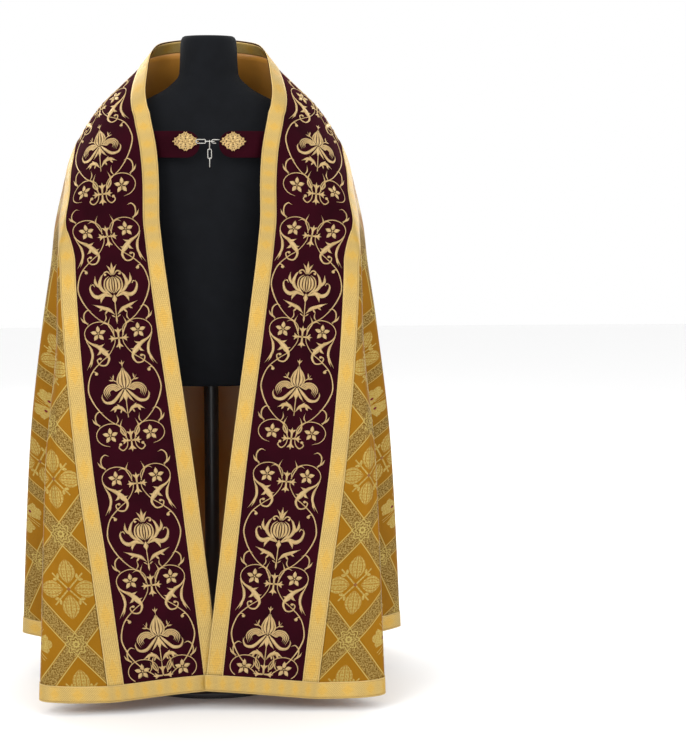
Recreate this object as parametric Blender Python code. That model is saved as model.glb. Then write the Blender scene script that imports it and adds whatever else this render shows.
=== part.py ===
"""A cope on a limbless dress form: the cloth, its bands, hood, clasp and stand.

Metres, +Z up, the open front faces -Y, and the origin is under the middle of the base.
Every cloth piece is a wall laid on one surface, cope_point, which is drawn through
the fold lines below. u counts round the cope from the centre front (0) to the centre
back (7), and each fold line sits at a whole number of u.
"""
import math
from collections import namedtuple
from functools import lru_cache

import bmesh
import bpy
import numpy as np
from mathutils import Matrix, Vector

MM = 0.001
GAP = 0.3 * MM                  # left between pieces that meet

# --- driving sizes ---------------------------------------------------------
BAND_WIDTH = 240 * MM           # the velvet orphrey with the galloon on both its edges
GALLOON_WIDTH = 34.5 * MM
CLOTH = 2.0 * MM                # velvet or brocade with its stiffening
LINING = 0.8 * MM
GALLOON = 1.0 * MM
LINING_GAP = 0.5 * MM
LAP = 8 * MM                    # the front on -X passes this far behind the other at the hem

HOOD_HALF_WIDTH = 262 * MM
HOOD_LOW = 746 * MM             # height of the hood's lower edge
HOOD_CORNER_RISE = 135 * MM
FRINGE_REACH = 41 * MM
FRINGE_THICKNESS = 5 * MM

STRAP_LOW, STRAP_HIGH = 1.150, 1.206
STRAP_END = 20.5 * MM           # from the centre to the rounded end
CLASP_CENTRE = 50 * MM
CLASP_HEIGHT = 1.184
CLASP_LENGTH, CLASP_BREADTH = 57 * MM, 43 * MM
CLASP_PLATE = 2.2 * MM
WIRE = 2.2 * MM                 # chain and hook wire
LINK_LENGTH, LINK_WIDTH = 22.9 * MM, 10 * MM

BASE_RADIUS, BASE_THICKNESS = 0.200, 0.012
POLE_RADIUS = 0.016
FORM_LOW = 0.660

# --- the fold lines: height, distance out from the middle, depth (y) ---------
FOLDS = {
    "centre_front": [
        (0.02, 0, -0.285), (0.50, 0, -0.225), (0.80, 0, -0.185), (1.00, 0, -0.160),
        (1.15, 0, -0.135), (1.25, 0, -0.110), (1.34, 0, -0.060), (1.42, 0, -0.030)],
    "panel_edge": [
        (0.02, 0.215, -0.302), (0.28, 0.250, -0.262), (0.50, 0.282, -0.222), (0.80, 0.311, -0.158),
        (0.92, 0.317, -0.128), (1.00, 0.300, -0.122), (1.10, 0.232, -0.130), (1.15, 0.200, -0.126),
        (1.25, 0.135, -0.098), (1.34, 0.078, -0.056), (1.42, 0.030, -0.030)],
    "front_ridge": [
        (0.02, 0.361, -0.285), (0.50, 0.348, -0.190), (0.80, 0.323, -0.130), (0.92, 0.322, -0.106),
        (1.00, 0.320, -0.090), (1.10, 0.288, -0.086), (1.15, 0.262, -0.084), (1.25, 0.192, -0.070),
        (1.34, 0.116, -0.036), (1.42, 0.065, -0.010)],
    "front_valley": [
        (0.02, 0.185, -0.085), (0.50, 0.225, -0.055), (0.80, 0.272, -0.040), (0.92, 0.305, -0.040),
        (1.00, 0.324, -0.040), (1.10, 0.309, -0.036), (1.15, 0.291, -0.034), (1.25, 0.229, -0.032),
        (1.34, 0.142, -0.008), (1.42, 0.085, 0.015)],
    "side_ridge": [
        (0.02, 0.428, 0.040), (0.50, 0.402, 0.035), (0.80, 0.366, 0.025), (0.92, 0.347, 0.018),
        (1.00, 0.336, 0.012), (1.10, 0.312, 0.008), (1.15, 0.299, 0.008), (1.25, 0.243, 0.010),
        (1.34, 0.154, 0.022), (1.38, 0.122, 0.026), (1.42, 0.092, 0.038)],
    "back_valley": [
        (0.02, 0.215, 0.115), (0.50, 0.240, 0.110), (0.80, 0.268, 0.092), (0.92, 0.290, 0.078),
        (1.00, 0.298, 0.072), (1.10, 0.290, 0.066), (1.15, 0.276, 0.062), (1.25, 0.222, 0.058),
        (1.34, 0.139, 0.062), (1.38, 0.114, 0.058), (1.42, 0.083, 0.060)],
    "back_ridge": [
        (0.02, 0.356, 0.275), (0.50, 0.295, 0.210), (0.80, 0.246, 0.172), (1.00, 0.212, 0.162),
        (1.10, 0.198, 0.154), (1.15, 0.188, 0.148), (1.25, 0.150, 0.122), (1.34, 0.098, 0.092),
        (1.38, 0.076, 0.081), (1.42, 0.050, 0.074)],
    "centre_back": [
        (0.02, 0, 0.300), (0.50, 0, 0.250), (0.80, 0, 0.232), (1.00, 0, 0.220), (1.10, 0, 0.212),
        (1.15, 0, 0.204), (1.205, 0, 0.186), (1.25, 0, 0.157), (1.30, 0, 0.124), (1.36, 0, 0.092),
        (1.42, 0, 0.078)],
}
FOLD_NAMES = list(FOLDS)
CENTRE_BACK = len(FOLD_NAMES) - 1

# the hem's height at each fold line
HEM = {
    "centre_front": 0.037, "panel_edge": 0.024, "front_ridge": 0.031, "front_valley": 0.055,
    "side_ridge": 0.094, "back_valley": 0.062, "back_ridge": 0.024, "centre_back": 0.022}

# the orphrey's two long edges. Each row is one cross line of the band, from the
# front hem (0) over the shoulder to the centre back (11)
CrossLine = namedtuple("CrossLine", "outer_u outer_z edge_u edge_z")
BAND = [
    CrossLine(1.00, 0.024, -0.080, 0.040),
    CrossLine(1.00, 0.280, 0.050, 0.300),
    CrossLine(1.00, 0.500, 0.134, 0.523),
    CrossLine(1.00, 0.720, 0.214, 0.745),
    CrossLine(1.00, 0.920, 0.285, 0.950),
    CrossLine(1.80, 0.985, 0.335, 1.026),
    CrossLine(2.20, 1.035, 0.410, 1.093),
    CrossLine(2.90, 1.096, 0.520, 1.158),
    CrossLine(4.20, 1.160, 0.860, 1.242),
    CrossLine(5.60, 1.199, 2.500, 1.340),
    CrossLine(6.35, 1.204, 4.600, 1.395),
    CrossLine(7.00, 1.205, 7.000, 1.413),
]
PANEL_TOP_LINE = 4              # the cross line where the body's front edge ends
LINE_SHARES = np.linspace(0, 1, 33)

# how finely each stretch is divided
STEPS_PER_FOLD = 3
BODY_ROWS = [0.0, 0.16, 0.32, 0.47, 0.60, 0.72, 0.82, 0.91, 1.0]
BAND_COLUMNS = [0.0, 0.25, 0.50, 0.75, 1.0]
FOLD_ROUNDNESS = 1.2            # how wide the cloth turns at a fold, by the space it has
FRONT_SEAM_TRIM = 0.014         # u left clear of the orphrey's edge, where the cloth turns sharply


# --- curves through the tables ----------------------------------------------
def slopes_at(xs, ys):
    """Slopes that carry a smooth line through the table and add no overshoot."""
    steps = np.diff(ys) / np.diff(xs)
    slopes = np.zeros(len(xs))
    slopes[0], slopes[-1] = steps[0], steps[-1]
    for i in range(1, len(xs) - 1):
        if steps[i - 1] * steps[i] > 0:
            slopes[i] = 2 * steps[i - 1] * steps[i] / (steps[i - 1] + steps[i])
    return slopes


class SmoothLine:
    """A smooth function through a short table of x and y."""

    def __init__(self, xs, ys):
        self.xs = np.array(xs, float)
        self.ys = np.array(ys, float)
        self.slopes = slopes_at(self.xs, self.ys)

    def __call__(self, x):
        x = min(max(x, self.xs[0]), self.xs[-1])
        i = min(int(np.searchsorted(self.xs, x, side="right")) - 1, len(self.xs) - 2)
        width = self.xs[i + 1] - self.xs[i]
        t = (x - self.xs[i]) / width
        rise, fall = t * t * (3 - 2 * t), 1 - t * t * (3 - 2 * t)
        start = width * t * (1 - t) ** 2 * self.slopes[i]
        end = -width * t * t * (1 - t) * self.slopes[i + 1]
        return float(fall * self.ys[i] + rise * self.ys[i + 1] + start + end)


def blend(a, b, t):
    return a + (b - a) * t


def ease(t):
    t = min(max(t, 0.0), 1.0)
    return t * t * (3 - 2 * t)


OUT_AT = [SmoothLine([r[0] for r in rows], [r[1] for r in rows]) for rows in FOLDS.values()]
DEPTH_AT = [SmoothLine([r[0] for r in rows], [r[2] for r in rows]) for rows in FOLDS.values()]
hem_height = SmoothLine(range(len(FOLD_NAMES)), [HEM[name] for name in FOLD_NAMES])
LINES = range(len(BAND))
outer_u = SmoothLine(LINES, [line.outer_u for line in BAND])
outer_z = SmoothLine(LINES, [line.outer_z for line in BAND])
edge_u = SmoothLine(LINES, [line.edge_u for line in BAND])
edge_z = SmoothLine(LINES, [line.edge_z for line in BAND])


def fold_point(index, z):
    """A fold line's plan position; past either centre it is the mirror of its opposite."""
    side = 1.0
    if index < 0:
        index, side = -index, -1.0
    if index > CENTRE_BACK:
        index, side = 2 * CENTRE_BACK - index, -1.0
    return np.array([side * OUT_AT[index](z), DEPTH_AT[index](z)])


def plan_point(u, z):
    """The cope's section at one height: a smooth curve through the fold lines."""
    i = min(max(math.floor(u), -1), CENTRE_BACK - 1)
    t = u - i
    before, start, end, after = (fold_point(i + k, z) for k in (-1, 0, 1, 2))
    reach = FOLD_ROUNDNESS * np.linalg.norm(end - start)
    leave, arrive = (end - before) / 2, (after - start) / 2
    leave = leave * min(1.0, reach / np.linalg.norm(leave))
    arrive = arrive * min(1.0, reach / np.linalg.norm(arrive))
    fall = (1 - t) ** 2 * (1 + 2 * t)
    return fall * start + (1 - fall) * end + t * (1 - t) ** 2 * leave - t * t * (1 - t) * arrive


def cope_point(side, u, z):
    """A point of the cloth's outer face; side is +1 or -1."""
    x, y = plan_point(u, z)
    if side < 0:
        y += LAP * ease((0.9 - u) / 0.6) * ease((0.50 - z) / 0.25)
    return Vector((side * x, y, z))


def cope_normal(side, u, z):
    """The cloth's outward direction."""
    step = 0.002
    along = cope_point(side, u + step, z) - cope_point(side, u - step, z)
    up = cope_point(side, u, z + step) - cope_point(side, u, z - step)
    return (side * along.cross(up)).normalized()


Spot = namedtuple("Spot", "point normal")


def spot(side, u, z):
    return Spot(cope_point(side, u, z), cope_normal(side, u, z))


def line_of_u(u):
    """The cross line of the band whose outer end is at u (past the front panel)."""
    low, high = PANEL_TOP_LINE, len(BAND) - 1
    for _ in range(40):
        middle = (low + high) / 2
        low, high = (middle, high) if outer_u(middle) < u else (low, middle)
    return (low + high) / 2


def line_of_front_height(z):
    low, high = 0.0, float(PANEL_TOP_LINE)
    for _ in range(40):
        middle = (low + high) / 2
        low, high = (middle, high) if outer_z(middle) < z else (low, middle)
    return (low + high) / 2


def straight_uz(line, share):
    """u and z on a cross line, a share of the way in u and z from the open edge."""
    return blend(edge_u(line), outer_u(line), share), blend(edge_z(line), outer_z(line), share)


@lru_cache(maxsize=None)
def line_lengths(line):
    """How far along a cross line's length each of its equal steps in u and z lies, from 0 to 1."""
    points = [cope_point(1, *straight_uz(line, share)) for share in LINE_SHARES]
    lengths = np.cumsum([0.0] + [(b - a).length for a, b in zip(points, points[1:])])
    return lengths / lengths[-1]


def band_uz(line, across):
    """u and z of the band; across is 0 on the open edge, 1 on the outer edge, in equal lengths."""
    return straight_uz(line, float(np.interp(across, line_lengths(line), LINE_SHARES)))


def band_spot(side, line, across):
    return spot(side, *band_uz(line, across))


def body_top(u):
    return outer_z(line_of_u(u))


# --- walls --------------------------------------------------------------------
def new_object(name, mesh, material, smooth=True):
    thing = bpy.data.objects.new(name, mesh)
    bpy.context.scene.collection.objects.link(thing)
    thing.data.materials.append(material)
    if smooth:
        thing.data.shade_smooth()
        thing.data.set_sharp_from_angle(angle=math.radians(40))
    return thing


def finish(bm, name, material, smooth=True):
    bmesh.ops.recalc_face_normals(bm, faces=bm.faces)
    mesh = bpy.data.meshes.new(name)
    bm.to_mesh(mesh)
    bm.free()
    return new_object(name, mesh, material, smooth)


def panels(rows, columns):
    """The corners of each panel of a grid, in order round it."""
    return [((i, j), (i, j + 1), (i + 1, j + 1), (i + 1, j))
            for i in range(rows - 1) for j in range(columns - 1)]


def wall_of_panels(name, quads, outer, inner, material):
    """A closed wall over panels whose corners are (key, spot) and are shared by key.

    It is the spots moved out by outer, and by inner behind them. Every panel is cut
    along the same diagonal, so layers over each other are cut alike.
    """
    bm = bmesh.new()
    made = {}
    uses = {}

    def vert(corner, depth):
        key, place = corner
        if (key, depth) not in made:
            made[key, depth] = bm.verts.new(place.point + place.normal * depth)
        return made[key, depth]

    for quad in quads:
        for one, two in zip(quad, quad[1:] + quad[:1]):
            edge = frozenset((one[0], two[0]))
            uses[edge] = uses.get(edge, 0) + 1
        for depth in (outer, inner):
            a, b, c, d = (vert(corner, depth) for corner in quad)
            bm.faces.new((a, b, c))
            bm.faces.new((a, c, d))
    for quad in quads:
        for one, two in zip(quad, quad[1:] + quad[:1]):
            if uses[frozenset((one[0], two[0]))] == 1:
                bm.faces.new((vert(one, outer), vert(two, outer), vert(two, inner), vert(one, inner)))
    return finish(bm, name, material)


def wall(name, grid, outer, inner, material):
    """A closed wall on one grid of spots."""
    quads = [[(corner, grid[corner[0]][corner[1]]) for corner in panel]
             for panel in panels(len(grid), len(grid[0]))]
    return wall_of_panels(name, quads, outer, inner, material)


def wall_both_sides(name, half, outer, inner, material):
    """One wall on half(-1) and half(1), two grids whose last rows are the shared middle."""
    quads = []
    for side in (-1, 1):
        grid = half(side)
        for panel in panels(len(grid), len(grid[0])):
            quads.append([((0 if i == len(grid) - 1 else side, i, j), grid[i][j]) for i, j in panel])
    return wall_of_panels(name, quads, outer, inner, material)


def fold_steps(start, end, steps=STEPS_PER_FOLD):
    """Values of u from start to end with equal steps between the fold lines."""
    count = round((end - start) * steps)
    return [start + k * (end - start) / count for k in range(count + 1)]


def seam_step(u, z):
    """How much u makes half a seam gap."""
    step = 0.01
    length = (cope_point(1, u + step, z) - cope_point(1, u - step, z)).length / (2 * step)
    return GAP / 2 / length


# --- the cloth --------------------------------------------------------------------
def body_column(u, trim_low=0.0, trim_high=GAP / 2):
    low, high = hem_height(u) + trim_low, body_top(u) - trim_high
    heights = [low, hem_height(u) + GALLOON_WIDTH] + [
        blend(hem_height(u) + GALLOON_WIDTH, high, t) for t in BODY_ROWS[1:]]
    return heights


def body_grid(side, us, trim_front=0.0, trim_back=0.0):
    """Spots column by column towards the back, each column from the hem up."""
    grid = []
    for u in us:
        shift = trim_front if u == us[0] else -trim_back if u == us[-1] else 0.0
        grid.append([spot(side, u + shift, z) for z in body_column(u)])
    return grid


def build_body(material):
    seam_u = 5
    trim = seam_step(seam_u, 0.5)
    front, back = fold_steps(1, seam_u), fold_steps(seam_u, CENTRE_BACK)
    for side, name in ((-1, "body_left"), (1, "body_right")):
        wall(name, body_grid(side, front, FRONT_SEAM_TRIM, trim), 0, -CLOTH, material)
    wall_both_sides("body_back", lambda side: body_grid(side, back, trim), 0, -CLOTH, material)


def band_lines():
    """The band's cross lines: one for each row of the body's front edge, then one for each of its columns."""
    rows = [line_of_front_height(z) for z in body_column(1.0, trim_high=0)]
    over = [line_of_u(u) for u in fold_steps(1, CENTRE_BACK)[1:]]
    return rows + over


def band_grid(side, lines, columns):
    return [[band_spot(side, line, across) for across in columns] for line in lines]


def seam_share(width=BAND_WIDTH):
    return GAP / 2 / width


def orphrey_lines():
    lines = band_lines()
    lines[-1] -= 0.003          # the two halves meet at the centre back
    return lines


def across_columns():
    edge = GALLOON_WIDTH / BAND_WIDTH
    inside = [blend(edge, 1 - edge, t) for t in BAND_COLUMNS]
    return [0.0] + inside + [1.0 - seam_share()]


def build_orphreys(material):
    for side, name in ((-1, "orphrey_left"), (1, "orphrey_right")):
        wall(name, band_grid(side, orphrey_lines(), across_columns()), 0, -CLOTH, material)


def build_lining(material):
    """One sheet behind the body and the orphreys, seen inside the neck and the open front."""
    outer, inner = -CLOTH - LINING_GAP, -CLOTH - LINING_GAP - LINING
    columns = across_columns()[1:-1] + [1.0]
    lines = band_lines()
    lines[0] += 0.02
    us = fold_steps(1, CENTRE_BACK)
    rows = len(BODY_ROWS) + 1
    quads = []
    for side in (-1, 1):
        band = [[band_spot(side, line, across) for across in columns] for line in lines]
        body = [[spot(side, u, z) for z in body_column(u, trim_low=4 * MM, trim_high=0)] for u in us]

        def corner(part, i, j):
            """A corner with its key: the band's outer line is the body's front edge and top."""
            if part == "band" and j == len(columns) - 1:
                part, i, j = ("body", 0, i) if i < rows else ("body", i - rows + 1, rows - 1)
            middle = i == (len(lines) if part == "band" else len(us)) - 1
            return (0 if middle else side, part, i, j), (band if part == "band" else body)[i][j]

        for part, grid in (("band", band), ("body", body)):
            for panel in panels(len(grid), len(grid[0])):
                quads.append([corner(part, i, j) for i, j in panel])
    wall_of_panels("lining", quads, outer, inner, material)


def build_galloons(material):
    outer, inner = GAP + GALLOON, GAP
    edge = GALLOON_WIDTH / BAND_WIDTH
    lines = band_lines()
    front_end = lines[1] + 0.003
    lines = [front_end] + lines[2:]
    for side, hand in ((-1, "left"), (1, "right")):
        near = lines[:-1] + [lines[-1] - 0.003]
        wall("galloon_edge_" + hand, band_grid(side, near, [0.0, edge]), outer, inner, material)
        wall("galloon_outer_" + hand, band_grid(side, near, [1 - edge, 1.0 - seam_share()]),
             outer, inner, material)
    build_centre_galloon(edge, outer, inner, material)


def build_centre_galloon(edge, outer, inner, material):
    """The upright strip over the seam between the two orphreys, laid on their last panels."""
    last, before = orphrey_lines()[-1], orphrey_lines()[-2]
    inside = across_columns()[1:-1]
    inside[0] += 2 * seam_share()
    inside[-1] -= 2 * seam_share()
    rows = []
    for across in inside:
        row = []
        for side in (-1, 1):
            near, far = band_spot(side, last, across), band_spot(side, before, across)
            share = (GALLOON_WIDTH / 2 - abs(near.point.x)) / (abs(far.point.x) - abs(near.point.x))
            reach = Spot(near.point.lerp(far.point, share), near.normal.lerp(far.normal, share))
            row += [reach, near] if side < 0 else [near, reach]
        rows.append(row)
    wall("galloon_centre_back", rows, outer + GAP, inner + GAP, material)


def u_for_width(width, z):
    """u on the back where the cope is this far out from the middle."""
    low, high = 5.0, float(CENTRE_BACK)
    for _ in range(40):
        middle = (low + high) / 2
        low, high = (middle, high) if plan_point(middle, z)[0] > width else (low, middle)
    return (low + high) / 2


def build_hem_galloon(material):
    """Along the whole hem, over the body and the ends of the orphreys."""
    lines = band_lines()[:2]

    def half(side):
        grid = [[band_spot(side, line, across) for line in lines] for across in across_columns()[:-1]]
        for u in fold_steps(1, CENTRE_BACK):
            low = hem_height(u)
            grid.append([spot(side, u, z) for z in (low, low + GALLOON_WIDTH)])
        return grid

    wall_both_sides("galloon_hem", half, GAP + GALLOON, GAP, material)


# --- the hood on the back ------------------------------------------------------------
HoodRow = namedtuple("HoodRow", "height edge_depth")
HOOD_EDGE = [HoodRow(0.70, 0.224), HoodRow(0.80, 0.208), HoodRow(0.90, 0.182), HoodRow(1.05, 0.142),
             HoodRow(1.12, 0.120), HoodRow(1.17, 0.096), HoodRow(1.21, 0.082)]
hood_edge_depth = SmoothLine([r.height for r in HOOD_EDGE], [r.edge_depth for r in HOOD_EDGE])
HOOD_TOP_HALF_WIDTH = 0.252
HOOD_STAND_OFF = 9 * MM
HOOD_COLUMNS = 16
HOOD_DOWNS = [0.0, 0.16, 0.32, 0.48, 0.64, 0.80, 0.925, 1.0]
HOOD_GALLOON_LIFT = 3.8 * MM


def hood_point(across, down):
    """across runs -1..1 over the hood's width, down 0..1 from its sewn edge to its free edge."""
    side = -1 if across < 0 else 1
    reach = abs(across)
    top_z = 1.198
    for _ in range(6):
        top_u = u_for_width(HOOD_TOP_HALF_WIDTH * reach, top_z)
        top_z = body_top(top_u) - 3 * MM
    low_z = HOOD_LOW + HOOD_CORNER_RISE * (1 - (1 - reach ** 3.6) ** (1 / 3.6))
    z = blend(top_z, low_z, down)
    x = blend(HOOD_TOP_HALF_WIDTH, HOOD_HALF_WIDTH, ease(down * 1.6)) * reach
    on_body = plan_point(u_for_width(x, z), z)[1] if x < 0.27 else 0.0
    centre = DEPTH_AT[CENTRE_BACK](z) + 2 * MM + HOOD_STAND_OFF * ease(down * 1.4)
    free = centre - (centre - hood_edge_depth(z)) * (x / HOOD_HALF_WIDTH) ** 2.2
    y = blend(on_body + 4 * MM, free, ease(down * 3.0))
    return Vector((side * x, y, z))


def hood_spot(across, down):
    step = 0.01
    a = min(max(across, -1 + step), 1 - step)
    d = min(max(down, step), 1 - step)
    along = hood_point(a + step, d) - hood_point(a - step, d)
    fall = hood_point(a, d + step) - hood_point(a, d - step)
    normal = along.cross(fall)
    if normal.y < 0:
        normal.negate()
    return Spot(hood_point(across, down), normal.normalized())


def hood_rim(columns_in=0, down=1.0):
    """Spots along the hood's free edge, from one top corner round to the other.

    The inner line runs down the hood's columns_in-th column and along the row at down.
    """
    reach = 1 - 2 * columns_in / HOOD_COLUMNS
    downs = HOOD_DOWNS[:-2]
    turns = [-1 + 2 * k / HOOD_COLUMNS for k in range(HOOD_COLUMNS + 1)]
    left = [hood_spot(-reach, d) for d in downs]
    low = [hood_spot(a * reach, down) for a in turns]
    right = [hood_spot(reach, d) for d in reversed(downs)]
    return left + low + right


def build_hood(velvet, gold, fringe):
    columns = [-1 + 2 * k / HOOD_COLUMNS for k in range(HOOD_COLUMNS + 1)]
    grid = [[hood_spot(a, d) for a in columns] for d in HOOD_DOWNS]
    wall("hood", grid, 0, -CLOTH, velvet)
    border = [hood_rim(), hood_rim(1, HOOD_DOWNS[-2])]
    wall("galloon_hood", border, HOOD_GALLOON_LIFT + GALLOON, HOOD_GALLOON_LIFT, gold)
    build_fringe(fringe)


def build_fringe(material):
    """The fringe hangs from the hood's free edge, down and a little outwards."""
    rim = hood_rim()[1:-1]
    rows = []
    for reach in (0, FRINGE_REACH * 0.5, FRINGE_REACH):
        row = []
        for i, place in enumerate(rim):
            ahead = rim[min(i + 1, len(rim) - 1)].point - rim[max(i - 1, 0)].point
            outward = ahead.cross(place.normal).normalized()
            if outward.z > 0.2 or outward.x * place.point.x < -1e-6:
                outward.negate()
            fall = (outward * 0.6 + Vector((0, 0, -1))).normalized()
            start = place.point + outward * 1.5 * MM + place.normal * 1.5 * MM
            row.append(Spot(start + fall * reach, place.normal))
        rows.append(row)
    wall("fringe_hood", rows, FRINGE_THICKNESS / 2, -FRINGE_THICKNESS / 2, material)


# --- the clasp ------------------------------------------------------------------------
STRAP_PATH = [(0.124, -0.1130), (0.112, -0.1150), (0.100, -0.1215), (0.080, -0.1290),
              (0.050, -0.1330), (0.0205, -0.1330)]
strap_depth = SmoothLine([x for x, _ in reversed(STRAP_PATH)], [y for _, y in reversed(STRAP_PATH)])


def build_strap(side, name, material):
    """A tab sewn under the front edge, with a round free end."""
    middle, half = (STRAP_LOW + STRAP_HIGH) / 2, (STRAP_HIGH - STRAP_LOW) / 2
    centre = STRAP_END + half
    turns = [math.radians(a) for a in range(0, 91, 18)]
    outline = [(centre - half * math.cos(a), half * math.sin(a)) for a in turns]
    outline[0] = (outline[0][0], half * math.sin(math.radians(4)))
    outline += [(x, half) for x in (0.068, 0.088, 0.106, 0.122)]
    grid = []
    for share in (-1, -0.5, 0, 0.5, 1):
        row = []
        for x, rise in outline:
            place = Vector((side * x, strap_depth(x), middle + rise * share))
            row.append(Spot(place, Vector((0, -1, 0))))
        grid.append(row)
    wall(name, grid, 0, -2.4 * MM, material)


def clasp_outline():
    """A lozenge with pointed ends and small scallops along its edge."""
    scallops, points = 14, 70
    outline = []
    for k in range(points):
        turn = 2 * math.pi * k / points
        c, s = math.cos(turn), math.sin(turn)
        scallop = 0.95 + 0.05 * math.cos(scallops * turn)
        outline.append((CLASP_LENGTH / 2 * c * abs(c) ** 0.6 * scallop,
                        CLASP_BREADTH / 2 * s * abs(s) ** 0.35 * scallop))
    return outline


def build_clasp(side, name, material):
    plate_y = strap_depth(CLASP_CENTRE) - GAP
    bm = bmesh.new()
    verts = [bm.verts.new((side * CLASP_CENTRE + x, plate_y - 0.0003, CLASP_HEIGHT + z))
             for x, z in clasp_outline()]
    face = bm.faces.new(verts)
    plate = bmesh.ops.extrude_face_region(bm, geom=[face])
    moved = [v for v in plate["geom"] if isinstance(v, bmesh.types.BMVert)]
    bmesh.ops.translate(bm, verts=moved, vec=(0, -CLASP_PLATE, 0))
    return finish(bm, name, material, smooth=False)


def ring_of(points, radius, sides=6, closed=True):
    """A round wire along points that lie in an XZ plane, as a bmesh."""
    bm = bmesh.new()
    count = len(points)
    rings = []
    for i, point in enumerate(points):
        before = points[i - 1] if closed or i else point
        after = points[(i + 1) % count] if closed or i < count - 1 else point
        ahead = (after - before).normalized()
        flat = Vector((0, 1, 0))
        second = ahead.cross(flat).normalized()
        rings.append([bm.verts.new(point + (flat * math.cos(a) + second * math.sin(a)) * radius)
                      for a in (2 * math.pi * k / sides for k in range(sides))])
    spans = range(count if closed else count - 1)
    for i in spans:
        one, two = rings[i], rings[(i + 1) % count]
        for k in range(sides):
            bm.faces.new((one[k], one[(k + 1) % sides], two[(k + 1) % sides], two[k]))
    if not closed:
        bm.faces.new(rings[0])
        bm.faces.new(rings[-1])
    return bm


def link_points():
    """The middle line of one link, its long way on Z, in the XZ plane."""
    radius = (LINK_WIDTH - WIRE) / 2
    straight = (LINK_LENGTH - WIRE) / 2 - radius
    points = []
    for k in range(16):
        turn = 2 * math.pi * (k + 0.5) / 16
        x, z = radius * math.cos(turn), radius * math.sin(turn)
        points.append(Vector((x, 0, z + math.copysign(straight, z))))
    return points


LINK_PITCH = LINK_LENGTH - 2 * WIRE - GAP


def build_link(name, place, turn, material):
    bm = ring_of(link_points(), WIRE / 2)
    bmesh.ops.transform(bm, matrix=Matrix.Translation(place) @ turn, verts=bm.verts)
    return finish(bm, name, material)


FACING = Matrix.Identity(4)
EDGE_ON = Matrix.Rotation(math.radians(90), 4, "Z")
LYING = Matrix.Rotation(math.radians(90), 4, "Y")
LYING_FLAT = Matrix.Rotation(math.radians(90), 4, "X") @ LYING
WIRE_DEPTH = strap_depth(STRAP_END) - CLASP_PLATE - 2 * GAP - WIRE / 2 - 0.6 * MM
FIRST_LINK_X = -17.5 * MM
SECOND_LINK_X = FIRST_LINK_X + LINK_PITCH
HANG_X = 0.5 * MM


def build_chain(silver):
    """Two links held between the clasps, and three that hang from the second."""
    build_link("link_1", Vector((FIRST_LINK_X, WIRE_DEPTH, CLASP_HEIGHT)), LYING, silver)
    build_link("link_2", Vector((SECOND_LINK_X, WIRE_DEPTH, CLASP_HEIGHT)), LYING_FLAT, silver)
    bar_y = WIRE_DEPTH - (LINK_WIDTH - WIRE) / 2
    top_z = CLASP_HEIGHT + WIRE + GAP - (LINK_LENGTH - WIRE) / 2
    for k, turn in enumerate((EDGE_ON, FACING, EDGE_ON)):
        build_link("link_%d" % (k + 3), Vector((HANG_X, bar_y, top_z - k * LINK_PITCH)), turn, silver)


def build_hook(silver):
    """A wire hook on the +X clasp: its bend passes down through the second link."""
    bend = 3.6 * MM
    centre = Vector((8.5 * MM, WIRE_DEPTH, CLASP_HEIGHT))
    points = [centre + Vector((13 * MM, 0, bend)), centre + Vector((4 * MM, 0, bend))]
    for degrees in range(90, 271, 30):
        a = math.radians(degrees)
        points.append(centre + Vector((bend * math.cos(a), 0, bend * math.sin(a))))
    points.append(centre + Vector((6 * MM, 0, -bend)))
    finish(ring_of(points, WIRE / 2, closed=False), "hook", silver)


# --- the dress form -----------------------------------------------------------------
FormRow = namedtuple("FormRow", "height half_width front back squareness")
FORM = [
    FormRow(0.660, 0.172, -0.100, 0.105, 2.2),
    FormRow(0.720, 0.178, -0.104, 0.110, 2.2),
    FormRow(0.820, 0.170, -0.102, 0.105, 2.2),
    FormRow(0.920, 0.158, -0.100, 0.088, 2.2),
    FormRow(1.000, 0.170, -0.108, 0.092, 2.2),
    FormRow(1.080, 0.200, -0.112, 0.100, 2.3),
    FormRow(1.150, 0.226, -0.104, 0.100, 2.3),
    FormRow(1.195, 0.230, -0.090, 0.092, 2.2),
    FormRow(1.225, 0.218, -0.078, 0.082, 2.1),
    FormRow(1.250, 0.186, -0.070, 0.074, 2.0),
    FormRow(1.275, 0.136, -0.064, 0.068, 2.0),
    FormRow(1.300, 0.090, -0.061, 0.063, 2.0),
    FormRow(1.330, 0.064, -0.060, 0.058, 2.0),
    FormRow(1.400, 0.060, -0.060, 0.056, 2.0),
    FormRow(1.410, 0.055, -0.055, 0.051, 2.0),
]
FORM_SIDES = 28


def form_ring(row):
    ring = []
    for k in range(FORM_SIDES):
        turn = 2 * math.pi * k / FORM_SIDES
        c, s = math.cos(turn), math.sin(turn)
        depth = row.back if s > 0 else -row.front
        power = 2 / row.squareness
        x = row.half_width * math.copysign(abs(c) ** power, c)
        y = depth * math.copysign(abs(s) ** power, s)
        ring.append(Vector((x, y, row.height)))
    return ring


def build_form(black, metal):
    bm = bmesh.new()
    rings = [[bm.verts.new(p) for p in form_ring(row)] for row in FORM]
    for one, two in zip(rings, rings[1:]):
        for k in range(FORM_SIDES):
            m = (k + 1) % FORM_SIDES
            bm.faces.new((one[k], one[m], two[m], two[k]))
    bm.faces.new(rings[0])
    bm.faces.new(rings[-1])
    finish(bm, "form_torso", black)
    build_post("stand_pole", POLE_RADIUS, BASE_THICKNESS + GAP, FORM_LOW - GAP, 16, metal)
    build_post("stand_base", BASE_RADIUS, 0, BASE_THICKNESS, 48, metal)


def build_post(name, radius, low, high, sides, material):
    bm = bmesh.new()
    bmesh.ops.create_cone(bm, cap_ends=True, segments=sides, radius1=radius, radius2=radius,
                          depth=high - low)
    bmesh.ops.translate(bm, verts=bm.verts, vec=(0, 0, (low + high) / 2))
    return finish(bm, name, material)


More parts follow.
